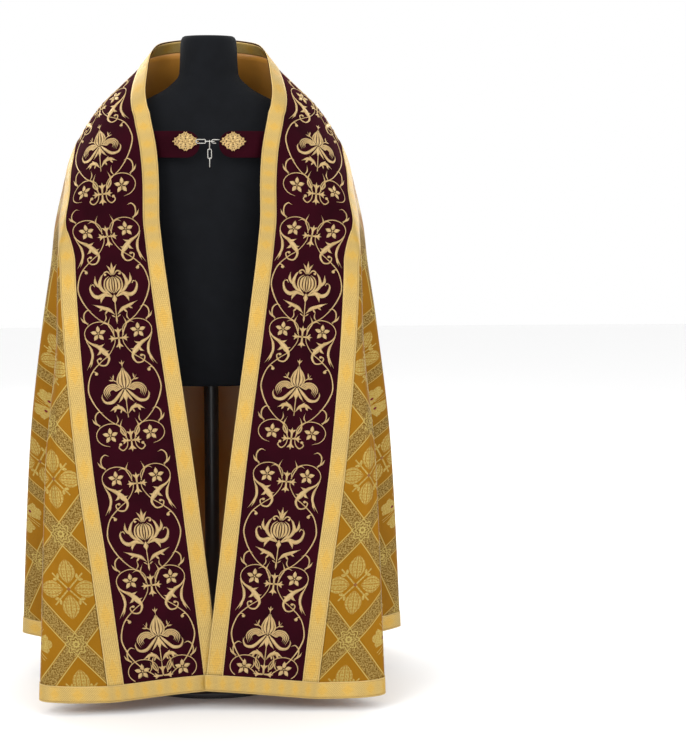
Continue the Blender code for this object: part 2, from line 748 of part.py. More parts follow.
# --- materials ------------------------------------------------------------------------
def make_material(name, colour, roughness, metallic=0.0):
    material = bpy.data.materials.new(name)
    material.use_nodes = True
    shader = material.node_tree.nodes["Principled BSDF"]
    shader.inputs["Base Color"].default_value = (*colour, 1)
    shader.inputs["Roughness"].default_value = roughness
    shader.inputs["Metallic"].default_value = metallic
    return material


def build():
    for thing in list(bpy.data.objects):
        bpy.data.objects.remove(thing, do_unlink=True)
    brocade = make_material("brocade", (0.50, 0.22, 0.02), 0.45, 0.3)
    velvet = make_material("velvet", (0.06, 0.004, 0.02), 0.8)
    gold = make_material("galloon", (0.72, 0.48, 0.14), 0.4, 0.5)
    satin = make_material("lining", (0.55, 0.24, 0.03), 0.35)
    bullion = make_material("fringe", (0.62, 0.52, 0.30), 0.5, 0.3)
    brass = make_material("clasp", (0.83, 0.66, 0.38), 0.3, 1.0)
    silver = make_material("chain", (0.62, 0.60, 0.54), 0.25, 1.0)
    black = make_material("form", (0.012, 0.013, 0.016), 0.7)
    metal = make_material("stand", (0.03, 0.03, 0.03), 0.4, 0.6)
    build_body(brocade)
    build_orphreys(velvet)
    build_lining(satin)
    build_galloons(gold)
    build_hem_galloon(gold)
    build_hood(velvet, gold, bullion)
    for side, hand in ((-1, "left"), (1, "right")):
        build_strap(side, "strap_" + hand, velvet)
        build_clasp(side, "clasp_" + hand, brass)
    build_chain(silver)
    build_hook(silver)
    build_form(black, metal)


build()
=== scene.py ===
"""Looks for a cope on a dress form: cloth shells, embroidery, braid, fringe, clasp and stand.

Metres, +Z up, the open front faces -Y. u counts round the cope from the centre front (0)
to the centre back (7), with a fold line at each whole number.
"""
import math
import random
from collections import namedtuple

import bmesh
import bpy
import numpy as np
from mathutils import Matrix, Vector


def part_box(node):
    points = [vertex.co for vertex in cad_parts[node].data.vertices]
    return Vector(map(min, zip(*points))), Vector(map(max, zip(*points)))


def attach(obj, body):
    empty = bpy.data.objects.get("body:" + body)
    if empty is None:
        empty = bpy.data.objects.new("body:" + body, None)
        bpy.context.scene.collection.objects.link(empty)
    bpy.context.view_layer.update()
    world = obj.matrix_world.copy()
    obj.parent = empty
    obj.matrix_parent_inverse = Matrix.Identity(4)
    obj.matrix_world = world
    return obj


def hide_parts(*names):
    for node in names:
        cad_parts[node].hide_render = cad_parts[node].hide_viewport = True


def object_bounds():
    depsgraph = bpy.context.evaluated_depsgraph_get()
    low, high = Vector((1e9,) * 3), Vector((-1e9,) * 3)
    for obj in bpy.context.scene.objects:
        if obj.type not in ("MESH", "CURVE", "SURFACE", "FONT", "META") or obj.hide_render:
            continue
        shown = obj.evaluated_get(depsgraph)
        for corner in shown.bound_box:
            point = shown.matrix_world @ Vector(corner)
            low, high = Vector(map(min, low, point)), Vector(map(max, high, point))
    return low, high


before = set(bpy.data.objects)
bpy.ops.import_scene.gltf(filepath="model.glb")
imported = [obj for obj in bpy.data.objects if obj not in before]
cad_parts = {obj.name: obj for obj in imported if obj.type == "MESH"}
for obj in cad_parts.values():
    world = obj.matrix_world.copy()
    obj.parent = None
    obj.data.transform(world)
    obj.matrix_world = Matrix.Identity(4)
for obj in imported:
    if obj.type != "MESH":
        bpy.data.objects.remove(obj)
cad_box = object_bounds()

MM = 0.001

# --- sizes of the garment -----------------------------------------------------------
GALLOON_WIDTH = 34.5 * MM
LAP = 8 * MM                    # how far one front lies behind the other, up to this u and height
LAP_TO_U, LAP_TOP = 0.9, 0.50
CLOTH = 1.3 * MM
LINING_DEPTH = -2.4 * MM
LINING = 0.7 * MM
FACING_DEPTH = -1.8 * MM
GALLOON_LIFT = 1.25 * MM
GALLOON = 0.8 * MM
SEAM_U = 5                      # the seam between each front of the body and its back
FRONT_EDGE_U = 1.0              # the body's front edge, under the orphrey
ORPHREY_BRAID_LENGTH = 1.53
HEM_BRAID_LENGTH = 1.86         # half of the hem
HOOD_BRAID_LENGTH = 1.32
CENTRE_BRAID_LENGTH = 0.165
LINING_START_LINE = 0.05        # the band's lining starts this far up from the hem's cross line
SIDES = ((-1, "left"), (1, "right"))

FOLDS = {
    "centre_front": [
        (0.02, 0, -0.285), (0.50, 0, -0.225), (0.80, 0, -0.185), (1.00, 0, -0.160),
        (1.15, 0, -0.135), (1.25, 0, -0.110), (1.34, 0, -0.060), (1.42, 0, -0.030)],
    "panel_edge": [
        (0.02, 0.215, -0.302), (0.28, 0.250, -0.262), (0.50, 0.282, -0.222), (0.80, 0.311, -0.158),
        (0.92, 0.317, -0.128), (1.00, 0.300, -0.122), (1.10, 0.232, -0.130), (1.15, 0.200, -0.126),
        (1.25, 0.135, -0.098), (1.34, 0.078, -0.056), (1.42, 0.030, -0.030)],
    "front_ridge": [
        (0.02, 0.361, -0.285), (0.50, 0.348, -0.190), (0.80, 0.323, -0.130), (0.92, 0.322, -0.106),
        (1.00, 0.320, -0.090), (1.10, 0.288, -0.086), (1.15, 0.262, -0.084), (1.25, 0.192, -0.070),
        (1.34, 0.116, -0.036), (1.42, 0.065, -0.010)],
    "front_valley": [
        (0.02, 0.185, -0.085), (0.50, 0.225, -0.055), (0.80, 0.272, -0.040), (0.92, 0.305, -0.040),
        (1.00, 0.324, -0.040), (1.10, 0.309, -0.036), (1.15, 0.291, -0.034), (1.25, 0.229, -0.032),
        (1.34, 0.142, -0.008), (1.42, 0.085, 0.015)],
    "side_ridge": [
        (0.02, 0.428, 0.040), (0.50, 0.402, 0.035), (0.80, 0.366, 0.025), (0.92, 0.347, 0.018),
        (1.00, 0.336, 0.012), (1.10, 0.312, 0.008), (1.15, 0.299, 0.008), (1.25, 0.243, 0.010),
        (1.34, 0.154, 0.022), (1.38, 0.122, 0.026), (1.42, 0.092, 0.038)],
    "back_valley": [
        (0.02, 0.215, 0.115), (0.50, 0.240, 0.110), (0.80, 0.268, 0.092), (0.92, 0.290, 0.078),
        (1.00, 0.298, 0.072), (1.10, 0.290, 0.066), (1.15, 0.276, 0.062), (1.25, 0.222, 0.058),
        (1.34, 0.139, 0.062), (1.38, 0.114, 0.058), (1.42, 0.083, 0.060)],
    "back_ridge": [
        (0.02, 0.356, 0.275), (0.50, 0.295, 0.210), (0.80, 0.246, 0.172), (1.00, 0.212, 0.162),
        (1.10, 0.198, 0.154), (1.15, 0.188, 0.148), (1.25, 0.150, 0.122), (1.34, 0.098, 0.092),
        (1.38, 0.076, 0.081), (1.42, 0.050, 0.074)],
    "centre_back": [
        (0.02, 0, 0.300), (0.50, 0, 0.250), (0.80, 0, 0.232), (1.00, 0, 0.220), (1.10, 0, 0.212),
        (1.15, 0, 0.204), (1.205, 0, 0.186), (1.25, 0, 0.157), (1.30, 0, 0.124), (1.36, 0, 0.092),
        (1.42, 0, 0.078)],
}
CENTRE_BACK = len(FOLDS) - 1
HEM = {
    "centre_front": 0.037, "panel_edge": 0.024, "front_ridge": 0.031, "front_valley": 0.055,
    "side_ridge": 0.094, "back_valley": 0.062, "back_ridge": 0.024, "centre_back": 0.022}
FOLD_ROUNDNESS = 1.2
NORMAL_STEP = 0.003

# the orphrey's two long edges, one row for each cross line from the hem to the centre back
CrossLine = namedtuple("CrossLine", "outer_u outer_z edge_u edge_z")
BAND = [
    CrossLine(1.00, 0.024, -0.080, 0.040),
    CrossLine(1.00, 0.280, 0.050, 0.300),
    CrossLine(1.00, 0.500, 0.134, 0.523),
    CrossLine(1.00, 0.720, 0.214, 0.745),
    CrossLine(1.00, 0.920, 0.285, 0.950),
    CrossLine(1.80, 0.985, 0.335, 1.026),
    CrossLine(2.20, 1.035, 0.410, 1.093),
    CrossLine(2.90, 1.096, 0.520, 1.158),
    CrossLine(4.20, 1.160, 0.860, 1.242),
    CrossLine(5.60, 1.199, 2.500, 1.340),
    CrossLine(6.35, 1.204, 4.600, 1.395),
    CrossLine(7.00, 1.205, 7.000, 1.413),
]
PANEL_TOP_LINE = 4
LAST_LINE = len(BAND) - 1

# soft creases pressed into the cloth: where they run, how deep and how wide
Crease = namedtuple("Crease", "u low high depth width drift")
CREASES = [
    Crease(1.62, 0.02, 0.74, -0.0060, 0.16, 0.10),
    Crease(2.45, 0.02, 0.62, 0.0070, 0.20, -0.15),
    Crease(3.45, 0.05, 0.90, -0.0080, 0.22, 0.12),
    Crease(4.35, 0.05, 0.98, 0.0050, 0.18, -0.10),
    Crease(5.48, 0.02, 0.70, 0.0080, 0.20, 0.18),
    Crease(6.42, 0.02, 0.52, -0.0110, 0.17, -0.08),
    Crease(6.72, 0.02, 0.60, 0.0060, 0.14, 0.06),
]


# --- curves through the tables ------------------------------------------------------
class SmoothLine:
    """A smooth line through a short table, with no overshoot; takes arrays."""

    def __init__(self, xs, ys):
        self.xs, self.ys = np.array(xs, float), np.array(ys, float)
        steps = np.diff(self.ys) / np.diff(self.xs)
        self.slopes = np.concatenate([steps[:1], np.zeros(len(steps) - 1), steps[-1:]])
        for i in range(1, len(steps)):
            if steps[i - 1] * steps[i] > 0:
                self.slopes[i] = 2 * steps[i - 1] * steps[i] / (steps[i - 1] + steps[i])

    def __call__(self, x):
        x = np.clip(x, self.xs[0], self.xs[-1])
        i = np.clip(np.searchsorted(self.xs, x, side="right") - 1, 0, len(self.xs) - 2)
        width = self.xs[i + 1] - self.xs[i]
        t = (x - self.xs[i]) / width
        rise = t * t * (3 - 2 * t)
        lean = width * t * (1 - t) * ((1 - t) * self.slopes[i] - t * self.slopes[i + 1])
        return (1 - rise) * self.ys[i] + rise * self.ys[i + 1] + lean


def blend(a, b, t):
    return a + (b - a) * t


def ease(t):
    t = np.clip(t, 0.0, 1.0)
    return t * t * (3 - 2 * t)


def column(rows, place):
    return [row[place] for row in rows]


OUT_AT = [SmoothLine(column(rows, 0), column(rows, 1)) for rows in FOLDS.values()]
DEPTH_AT = [SmoothLine(column(rows, 0), column(rows, 2)) for rows in FOLDS.values()]
hem_height = SmoothLine(range(len(HEM)), list(HEM.values()))
outer_u, outer_z, edge_u, edge_z = (SmoothLine(range(len(BAND)), column(BAND, k)) for k in range(4))


def fold_points(index, z):
    """Plan positions on the fold lines with these numbers; past a centre, the mirror of the other side."""
    side = np.where((index < 0) | (index > CENTRE_BACK), -1.0, 1.0)
    index = np.abs(index)
    index = np.where(index > CENTRE_BACK, 2 * CENTRE_BACK - index, index)
    out, depth = np.zeros(z.shape), np.zeros(z.shape)
    for k in range(CENTRE_BACK + 1):
        here = index == k
        if here.any():
            out[here], depth[here] = OUT_AT[k](z[here]), DEPTH_AT[k](z[here])
    return np.stack([side * out, depth], axis=-1)


def plan_points(u, z):
    """The cope's section: a smooth curve through the fold lines at each height."""
    i = np.clip(np.floor(u), -1, CENTRE_BACK - 1).astype(int)
    t = (u - i)[:, None]
    before, start, end, after = (fold_points(i + k, z) for k in (-1, 0, 1, 2))
    reach = FOLD_ROUNDNESS * np.linalg.norm(end - start, axis=1, keepdims=True)
    leave, arrive = (end - before) / 2, (after - start) / 2
    leave = leave * np.minimum(1, reach / np.linalg.norm(leave, axis=1, keepdims=True))
    arrive = arrive * np.minimum(1, reach / np.linalg.norm(arrive, axis=1, keepdims=True))
    fall = (1 - t) ** 2 * (1 + 2 * t)
    return fall * start + (1 - fall) * end + t * (1 - t) ** 2 * leave - t * t * (1 - t) * arrive


def bare_points(side, u, z):
    plan = plan_points(u, z)
    y = plan[:, 1]
    if side < 0:
        y = y + LAP * ease((LAP_TO_U - u) / 0.6) * ease((LAP_TOP - z) / 0.25)
    return np.stack([side * plan[:, 0], y, z], axis=-1)


def crease_depth(side, u, z):
    """How far the soft creases move the cloth out; the two sides differ a little."""
    depth = np.zeros(z.shape)
    for k, crease in enumerate(CREASES):
        middle = crease.u + crease.drift * (z - crease.low) + 0.05 * side * math.cos(k * 2.1)
        along = ease((z - crease.low + 0.12) / 0.12) * ease((crease.high - z) / 0.35)
        strength = 1 + 0.25 * side * math.sin(k * 1.7)
        depth += strength * crease.depth * along * np.exp(-((u - middle) / crease.width) ** 2)
    return depth * ease((u - 1.05) / 0.35) * ease((CENTRE_BACK - 0.02 - u) / 0.2)


def cope_points(side, u, z, lift=0.0):
    """Points of the cloth's outer face, moved out along it by lift, with the outward directions."""
    u, z = np.broadcast_arrays(np.asarray(u, float), np.asarray(z, float))
    step = NORMAL_STEP
    along = bare_points(side, u + step, z) - bare_points(side, u - step, z)
    up = bare_points(side, u, z + step) - bare_points(side, u, z - step)
    normal = side * np.cross(along, up)
    normal /= np.linalg.norm(normal, axis=1, keepdims=True)
    out = np.asarray(lift + crease_depth(side, u, z)).reshape(-1, 1)
    return bare_points(side, u, z) + normal * out, normal


def straight_uz(line, share):
    """u and z on a cross line, a share of the way in u and z from the open edge."""
    return blend(edge_u(line), outer_u(line), share), blend(edge_z(line), outer_z(line), share)


# where equal lengths fall along each cross line, for a grid of lines and shares of their length
LINE_STEPS, SHARE_STEPS = 440, 64
TABLE_LINES, TABLE_SHARES = np.linspace(0, LAST_LINE, LINE_STEPS + 1), np.linspace(0, 1, SHARE_STEPS + 1)
_on_lines = [cope_points(1, *straight_uz(TABLE_LINES, np.full(LINE_STEPS + 1, share)))[0]
             for share in TABLE_SHARES]
_steps = [np.zeros(LINE_STEPS + 1)] + [np.linalg.norm(b - a, axis=1)
                                       for a, b in zip(_on_lines, _on_lines[1:])]
_lengths = np.cumsum(_steps, axis=0).T
TABLE_WIDTHS = _lengths[:, -1]
TABLE = np.array([np.interp(TABLE_SHARES, row / row[-1], TABLE_SHARES) for row in _lengths])


def band_uz(line, across):
    """u and z of the band; across is 0 on the open edge, 1 on the outer edge, in equal lengths."""
    i_at = np.clip(line / LAST_LINE, 0, 1) * LINE_STEPS
    j_at = np.clip(across, 0, 1) * SHARE_STEPS
    i, j = np.minimum(i_at.astype(int), LINE_STEPS - 1), np.minimum(j_at.astype(int), SHARE_STEPS - 1)
    di, dj = i_at - i, j_at - j
    near = blend(TABLE[i, j], TABLE[i, j + 1], dj)
    far = blend(TABLE[i + 1, j], TABLE[i + 1, j + 1], dj)
    return straight_uz(line, blend(near, far, di))


def band_points(side, line, across, lift=0.0):
    return cope_points(side, *band_uz(line, across), lift)


# the body's top edge lies along the orphrey's outer edge
_top_lines = np.linspace(PANEL_TOP_LINE, LAST_LINE, 700)
TOP_U, TOP_Z = outer_u(_top_lines), outer_z(_top_lines)


def body_top(u):
    return np.interp(u, TOP_U, TOP_Z)


# the orphrey measured in metres: s up its middle from the hem
_middle = band_points(1, TABLE_LINES, np.full(LINE_STEPS + 1, 0.5))[0]
AXIS_LENGTH = np.concatenate([[0], np.cumsum(np.linalg.norm(np.diff(_middle, axis=0), axis=1))])


def line_of_length(s):
    return np.interp(s, AXIS_LENGTH, TABLE_LINES)


def length_of_line(line):
    return np.interp(line, TABLE_LINES, AXIS_LENGTH)


def width_of_line(line):
    return np.interp(line, TABLE_LINES, TABLE_WIDTHS)


# --- making sheets ---------------------------------------------------------------------
def sheet_mesh(name, columns, rows, place, uv, thickness, material):
    """A grid of cloth: place(a, b) gives points and outward directions, uv(a, b) metres of cloth."""
    bm = bmesh.new()
    bm.loops.layers.uv.new("UVMap")
    bmesh.ops.create_grid(bm, x_segments=columns, y_segments=rows, size=0.5, calc_uvs=True)
    flat = np.array([v.co[:2] for v in bm.verts]) + 0.5
    points, normals = place(flat[:, 0], flat[:, 1])
    lay_uv(bm, np.stack(uv(flat[:, 0], flat[:, 1]), axis=-1))
    move_to(bm, points)
    return shell(bm, name, normals, thickness, material)


def move_to(bm, points):
    for vert, point in zip(bm.verts, points):
        vert.co = point


def lay_uv(bm, uvs):
    layer = bm.loops.layers.uv.active
    bm.verts.index_update()
    for face in bm.faces:
        for loop in face.loops:
            loop[layer].uv = uvs[loop.vert.index]


def shell(bm, name, normals, thickness, material):
    """The finished sheet: its faces turned outwards, with its thickness behind them."""
    bm.normal_update()
    facing = sum(vert.normal.dot(Vector(n)) for vert, n in zip(bm.verts, normals))
    if facing < 0:
        bmesh.ops.reverse_faces(bm, faces=bm.faces)
    thing = finish(bm, name, material)
    if thickness:
        solid = thing.modifiers.new("thickness", "SOLIDIFY")
        solid.thickness = thickness
        solid.offset = -1
    return thing


def finish(bm, name, material, smooth=True):
    mesh = bpy.data.meshes.new(name)
    bm.to_mesh(mesh)
    bm.free()
    thing = bpy.data.objects.new(name, mesh)
    bpy.context.scene.collection.objects.link(thing)
    mesh.materials.append(material)
    if smooth:
        mesh.shade_smooth()
    return thing


def verts_in(geom):
    return [g for g in geom if isinstance(g, bmesh.types.BMVert)]


def edges_in(geom):
    return [g for g in geom if isinstance(g, bmesh.types.BMEdge)]


def edges_round(verts):
    return list({e for v in verts for e in v.link_edges})


def settle(thing, body, slot, *nodes):
    """The piece rides on its body and stands for its CAD nodes, which are hidden; slot is not used."""
    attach(thing, body)
    if nodes:
        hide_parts(*nodes)


# --- sums on texture coordinates ----------------------------------------------------------
class Field:
    """A number that varies over the surface: sums on it make the material's Math nodes."""

    def __init__(self, tree, socket):
        self.tree, self.socket = tree, socket

    def sum(self, kind, *others, clamp=False):
        node = self.tree.nodes.new("ShaderNodeMath")
        node.operation = kind
        node.use_clamp = clamp
        for place, value in zip(node.inputs, (self, *others)):
            if isinstance(value, Field):
                self.tree.links.new(value.socket, place)
            else:
                place.default_value = value
        return Field(self.tree, node.outputs[0])

    def __add__(self, other):
        return self.sum("ADD", other)

    def __sub__(self, other):
        return self.sum("SUBTRACT", other)

    def __mul__(self, other):
        return self.sum("MULTIPLY", other)

    def __truediv__(self, other):
        return self.sum("DIVIDE", other)

    def abs(self):
        return self.sum("ABSOLUTE")

    def wave(self, length, phase=0.0):
        """A sine from -1 to 1 with this length."""
        return (self * (2 * math.pi / length) + phase).sum("SINE")

    def cell(self, width):
        """How far this is from the middle of its repeat, -0.5 to 0.5 of the width."""
        return (self / width + 0.5).sum("FRACT") - 0.5

    def least(self, other):
        return self.sum("MINIMUM", other)

    def most(self, other):
        return self.sum("MAXIMUM", other)

    def over(self, other):
        """The distance from the origin of the point (self, other)."""
        return (self * self + other * other).sum("SQRT")

    def turn(self, other):
        """The angle of the point (other, self)."""
        return self.sum("ARCTAN2", other)

    def under(self, limit, soft):
        """1 where the number is below limit, 0 above it, with a soft edge."""
        value = limit - self if isinstance(limit, Field) else (self * -1 + limit)
        return (value / soft + 0.5).sum("MULTIPLY", 1.0, clamp=True)

    def flip(self):
        return self * -1 + 1


class Finish:
    """A material under way: its node tree, its surface shader and its coordinates."""

    def __init__(self, name, colour, roughness, metallic=0.0, **shader):
        self.material = bpy.data.materials.new(name)
        self.material.use_nodes = True
        self.material.diffuse_color = (*colour, 1)
        self.tree = self.material.node_tree
        self.surface = self.tree.nodes["Principled BSDF"]
        self.set(**{"Base Color": (*colour, 1), "Roughness": roughness, "Metallic": metallic})
        self.set(**{key.replace("_", " "): value for key, value in shader.items()})

    def set(self, **values):
        for key, value in values.items():
            self.surface.inputs[key].default_value = value

    def cloth(self):
        """The piece's own UV map as two fields, in metres of cloth."""
        split = self.node("ShaderNodeSeparateXYZ")
        self.tree.links.new(self.node("ShaderNodeUVMap", uv_map="UVMap").outputs["UV"], split.inputs[0])
        return Field(self.tree, split.outputs[0]), Field(self.tree, split.outputs[1])

    def place(self):
        """The piece's own X, Y and Z as three fields, in metres."""
        split = self.node("ShaderNodeSeparateXYZ")
        self.tree.links.new(self.node("ShaderNodeTexCoord").outputs["Object"], split.inputs[0])
        return tuple(Field(self.tree, split.outputs[k]) for k in range(3))

    def spot(self):
        """The place on the piece, as a vector."""
        return self.spread(*self.place())

    def node(self, kind, **settings):
        made = self.tree.nodes.new(kind)
        for key, value in settings.items():
            setattr(made, key, value)
        return made

    def spread(self, x, y, z=None):
        """Fields joined into a vector."""
        join = self.node("ShaderNodeCombineXYZ")
        for place, value in zip(join.inputs, (x, y, z)):
            if value is not None:
                self.tree.links.new(value.socket, place)
        return join.outputs[0]

    def noise(self, vector, scale, detail=3.0, roughness=0.55):
        made = self.node("ShaderNodeTexNoise")
        made.inputs["Scale"].default_value = scale
        made.inputs["Detail"].default_value = detail
        made.inputs["Roughness"].default_value = roughness
        self.tree.links.new(vector, made.inputs["Vector"])
        return Field(self.tree, made.outputs["Fac"])

    def grains(self, vector, scale, feature="F1"):
        made = self.node("ShaderNodeTexVoronoi", feature=feature)
        made.inputs["Scale"].default_value = scale
        self.tree.links.new(vector, made.inputs["Vector"])
        return Field(self.tree, made.outputs["Distance"])

    def mix(self, amount, below, above):
        """A colour: below where amount is 0, above where it is 1."""
        made = self.node("ShaderNodeMix", data_type="RGBA")
        self.tree.links.new(amount.socket, made.inputs["Factor"])
        for place, value in ((made.inputs[6], below), (made.inputs[7], above)):
            if isinstance(value, tuple):
                place.default_value = (*value, 1)
            else:
                self.tree.links.new(value, place)
        return made.outputs[2]

    def colour(self, socket):
        self.tree.links.new(socket, self.surface.inputs["Base Color"])

    def vary(self, name, field):
        self.tree.links.new(field.socket, self.surface.inputs[name])

    def bump(self, height, distance, strength=1.0):
        made = self.node("ShaderNodeBump")
        made.inputs["Strength"].default_value = strength
        made.inputs["Distance"].default_value = distance
        self.tree.links.new(height.socket, made.inputs["Height"])
        self.tree.links.new(made.outputs["Normal"], self.surface.inputs["Normal"])


# --- finishes ------------------------------------------------------------------------------
VERMICELLI = (0.36, 0.25, 0.075)
SILVER_GOLD = (0.42, 0.31, 0.085)
BROWN_LINE = (0.13, 0.065, 0.008)


def brocade_finish(name, ground, width, height, column_shift, row_shift):
    """Gold satin with a lozenge lattice, quatrefoils and flared crosses in silver gold."""
    look = Finish(name, ground, 0.42, 0.25, Specular_IOR_Level=0.12)
    x, y = look.cloth()
    px, py = (x - column_shift).cell(width).abs(), (y - row_shift).cell(height).abs()
    reach = px + py
    slant = width * height / math.hypot(width, height)
    from_band = (reach - 0.5).abs() * slant
    band = from_band.under(0.0135, 0.0012)
    band_edge = (from_band - 0.0158).abs().under(0.0010, 0.0008)

    ax, ay = px * width, py * height
    bx, by = (px * -1 + 0.5) * width, (py * -1 + 0.5) * height
    inside_a = reach.under(0.5, 0.01)

    def petals_and_rays(u, v):
        """A quatrefoil: four palmettes on the axes with pale rays between them."""
        far, near = u.most(v), u.least(v)
        swell = (far - 0.011) * (far * -1 + 0.062) * 27
        inner = (near - swell * 0.62).abs().under(0.0007, 0.0006).most(near.under(0.0006, 0.0005))
        leaf = (near - swell).under(0.0, 0.001) * (inner * -0.85 + 1)
        veins = (near.wave(0.0052, 1.2) * 0.5 + far.wave(0.0071) * 0.5).under(0.25, 0.5)
        rays = (far - near).under(0.0022, 0.001) * u.over(v).under(0.046, 0.002)
        buds = ((far - 0.027) / 0.005).over((near - 0.020) / 0.003).under(1.0, 0.2)
        dot = u.over(v).under(0.0035, 0.001)
        return (leaf * (veins * 0.45 + 0.55)).most(rays).most(buds), dot

    def flared_cross(u, v):
        """A cross with flared scalloped arms and small dark jewels."""
        far, near = u.most(v), u.least(v)
        arm = (near - far * 0.42 - 0.0035).under(0.0, 0.0012) * far.under(0.038, 0.001)
        side_knob = (far - 0.036).over(near - 0.012).under(0.0052, 0.001)
        knob = (far - 0.040).over(near).under(0.0088, 0.001).most(side_knob)
        rays = (far - near - 0.004).abs().under(0.0011, 0.0008) * u.over(v).under(0.045, 0.002)
        rays = rays * u.over(v).under(0.018, 0.001).flip()
        jewels = u.over(v).under(0.0040, 0.001).most((far - 0.021).over(near).under(0.0032, 0.001))
        ring = (u.over(v) - 0.0085).abs().under(0.0010, 0.0008)
        return arm.most(knob).most(rays) - ring * 0.7, jewels

    leaf_a, dot_a = petals_and_rays(ax, ay)
    leaf_b, dot_b = flared_cross(bx, by)
    clear = from_band.under(0.0175, 0.001).flip()
    figure = (leaf_a * inside_a + leaf_b * inside_a.flip()) * clear
    jewel = (dot_a * 0.6 * inside_a + dot_b * inside_a.flip()) * clear

    def star(u, v):
        """An eight-pointed star drawn with two outlines."""
        out = u.over(v)
        point = out / ((v.turn(u) * 8).sum("COSINE") * 0.0030 + 0.0205)
        return point, (point - 0.95).abs().under(0.055, 0.04).most((point - 0.62).abs().under(0.05, 0.04))

    point_one, lines_one = star(bx, ay)
    point_two, lines_two = star(ax, by)
    rosette = point_one.least(point_two)
    star_lines = lines_one.most(lines_two)
    heart = (rosette - 0.26).abs().under(0.10, 0.05)

    cloth = look.spread(x, y)
    flecks = look.noise(cloth, 310, 2.0, 0.6)
    curls = look.grains(cloth, 330, "SMOOTH_F1")
    # Fine noise that lightens the figures towards silver gold: painted glints of the metal thread.
    glint_noise = look.noise(cloth, 900, 1.0)
    fleck = (flecks * -1 + 0.5).under(0.0, 0.05) * 0.75 + curls.under(0.35, 0.2) * 0.25
    lattice = band.most(rosette.under(1.0, 0.04))
    tone = look.noise(cloth, 9, 2.0)
    dark_ground = tuple(c * 0.72 for c in ground)
    base = look.mix(tone, ground, dark_ground)
    base = look.mix(lattice * 0.92, base, look.mix(fleck, BROWN_LINE, VERMICELLI))
    outlines = (band_edge * rosette.under(1.0, 0.05).flip()).most(star_lines).most(heart)
    base = look.mix(outlines, base, SILVER_GOLD)
    # How much silver gold the figures take: their vermicelli flecks, plus the painted glints.
    shade = figure * (fleck * 0.55 + glint_noise * 0.3 + 0.35)
    base = look.mix(shade.sum("MINIMUM", 1.0), base, SILVER_GOLD)
    base = look.mix(jewel, base, (0.14, 0.012, 0.020))
    look.colour(base)
    metal = lattice * 0.35 + figure * 0.35 + 0.22
    look.vary("Metallic", metal)
    look.vary("Roughness", lattice * 0.08 + tone * 0.12 + 0.32)
    weave = x.wave(0.0011) * 0.5 + y.wave(0.0009) * 0.5
    relief = figure * 0.6 + lattice * fleck * 0.5 + star_lines * 0.4 + weave * 0.12
    look.bump(relief, 0.0006, 0.7)
    return look.material


def velvet_finish():
    look = Finish("burgundy velvet", (0.014, 0.0008, 0.003), 0.9, 0.0, Sheen_Weight=0.3,
                  Sheen_Roughness=0.30, Sheen_Tint=(0.36, 0.008, 0.05, 1), Specular_IOR_Level=0.06)
    spot = look.spot()
    nap = look.noise(spot, 14, 4.0)
    look.colour(look.mix(nap, (0.008, 0.0004, 0.0018), (0.034, 0.0014, 0.0065)))
    look.bump(look.noise(spot, 1500, 1.0), 0.0004, 0.5)
    return look.material


BRAID_REPEAT = 62 * MM


def galloon_finish():
    """Woven braid: a fine slanting lattice, bright star patches and greyer hatched ones."""
    look = Finish("gold braid", (0.74, 0.50, 0.16), 0.36, 0.55)
    s, c = look.cloth()
    one, two = (s + c).wave(0.0052), (s - c).wave(0.0052)
    mesh = one * two
    bright = s.wave(BRAID_REPEAT) * 0.3 + 0.55
    star_x = s.cell(BRAID_REPEAT) * BRAID_REPEAT
    star = ((star_x - BRAID_REPEAT / 4).abs() * 0.8 + c.abs() * 1.15).under(0.0115, 0.001)
    hatch = (s * 0.8 + c).wave(0.0044) * 0.5 + 0.5
    grey = look.mix(hatch * 0.7, (0.56, 0.40, 0.13), (0.24, 0.16, 0.05))
    gold = look.mix(mesh * 0.5 + 0.5, (0.50, 0.29, 0.045), (0.62, 0.42, 0.12))
    base = look.mix(bright, grey, gold)
    base = look.mix(star * (mesh * 0.3 + 0.35), base, (0.60, 0.33, 0.03))
    edge = (c.abs() - (GALLOON_WIDTH / 2 - 0.0022)).under(0.0, 0.0006).flip()
    gaps = look.noise(look.spread(s, c), 420, 2.0).under(0.42, 0.06)
    base = look.mix(gaps * 0.35, base, (0.28, 0.17, 0.04))
    base = look.mix(edge, base, (0.70, 0.50, 0.18))
    line = (c.abs() - (GALLOON_WIDTH / 2 - 0.0030)).abs().under(0.0005, 0.0004)
    base = look.mix(line * 0.6, base, (0.33, 0.18, 0.05))
    look.colour(base)
    look.vary("Metallic", bright * 0.2 + 0.42)
    look.bump(mesh * 0.6 + edge * s.wave(0.0026) * 0.6, 0.0005, 0.8)
    return look.material


def thread_finish():
    """Satin-stitched metal thread, lying across each stroke of the embroidery, with painted shade in the
    grooves between its stitches.
    """
    look = Finish("gold thread", (0.78, 0.62, 0.34), 0.38, 0.55)
    s, c = look.cloth()
    stitch = (s + c.abs() * 0.9).wave(0.0016)
    tone = look.noise(look.spread(s, c), 60, 2.0)
    base = look.mix(tone, (0.90, 0.68, 0.36), (0.58, 0.38, 0.14))
    # The troughs of the stitch wave are darkened: painted shade in the grooves between stitches.
    look.colour(look.mix(stitch.under(-0.35, 0.3) * 0.55, base, (0.36, 0.22, 0.07)))
    look.bump(stitch, 0.00035, 0.8)
    return look.material


def satin_finish():
    look = Finish("orange satin", (0.62, 0.27, 0.035), 0.32, 0.0, Sheen_Weight=0.3,
                  Anisotropic=0.35, Specular_IOR_Level=0.6)
    spot = look.spot()
    look.colour(look.mix(look.noise(spot, 7, 3.0), (0.66, 0.30, 0.04), (0.48, 0.19, 0.02)))
    look.bump(look.noise(spot, 26, 3.0), 0.004, 0.30)
    return look.material


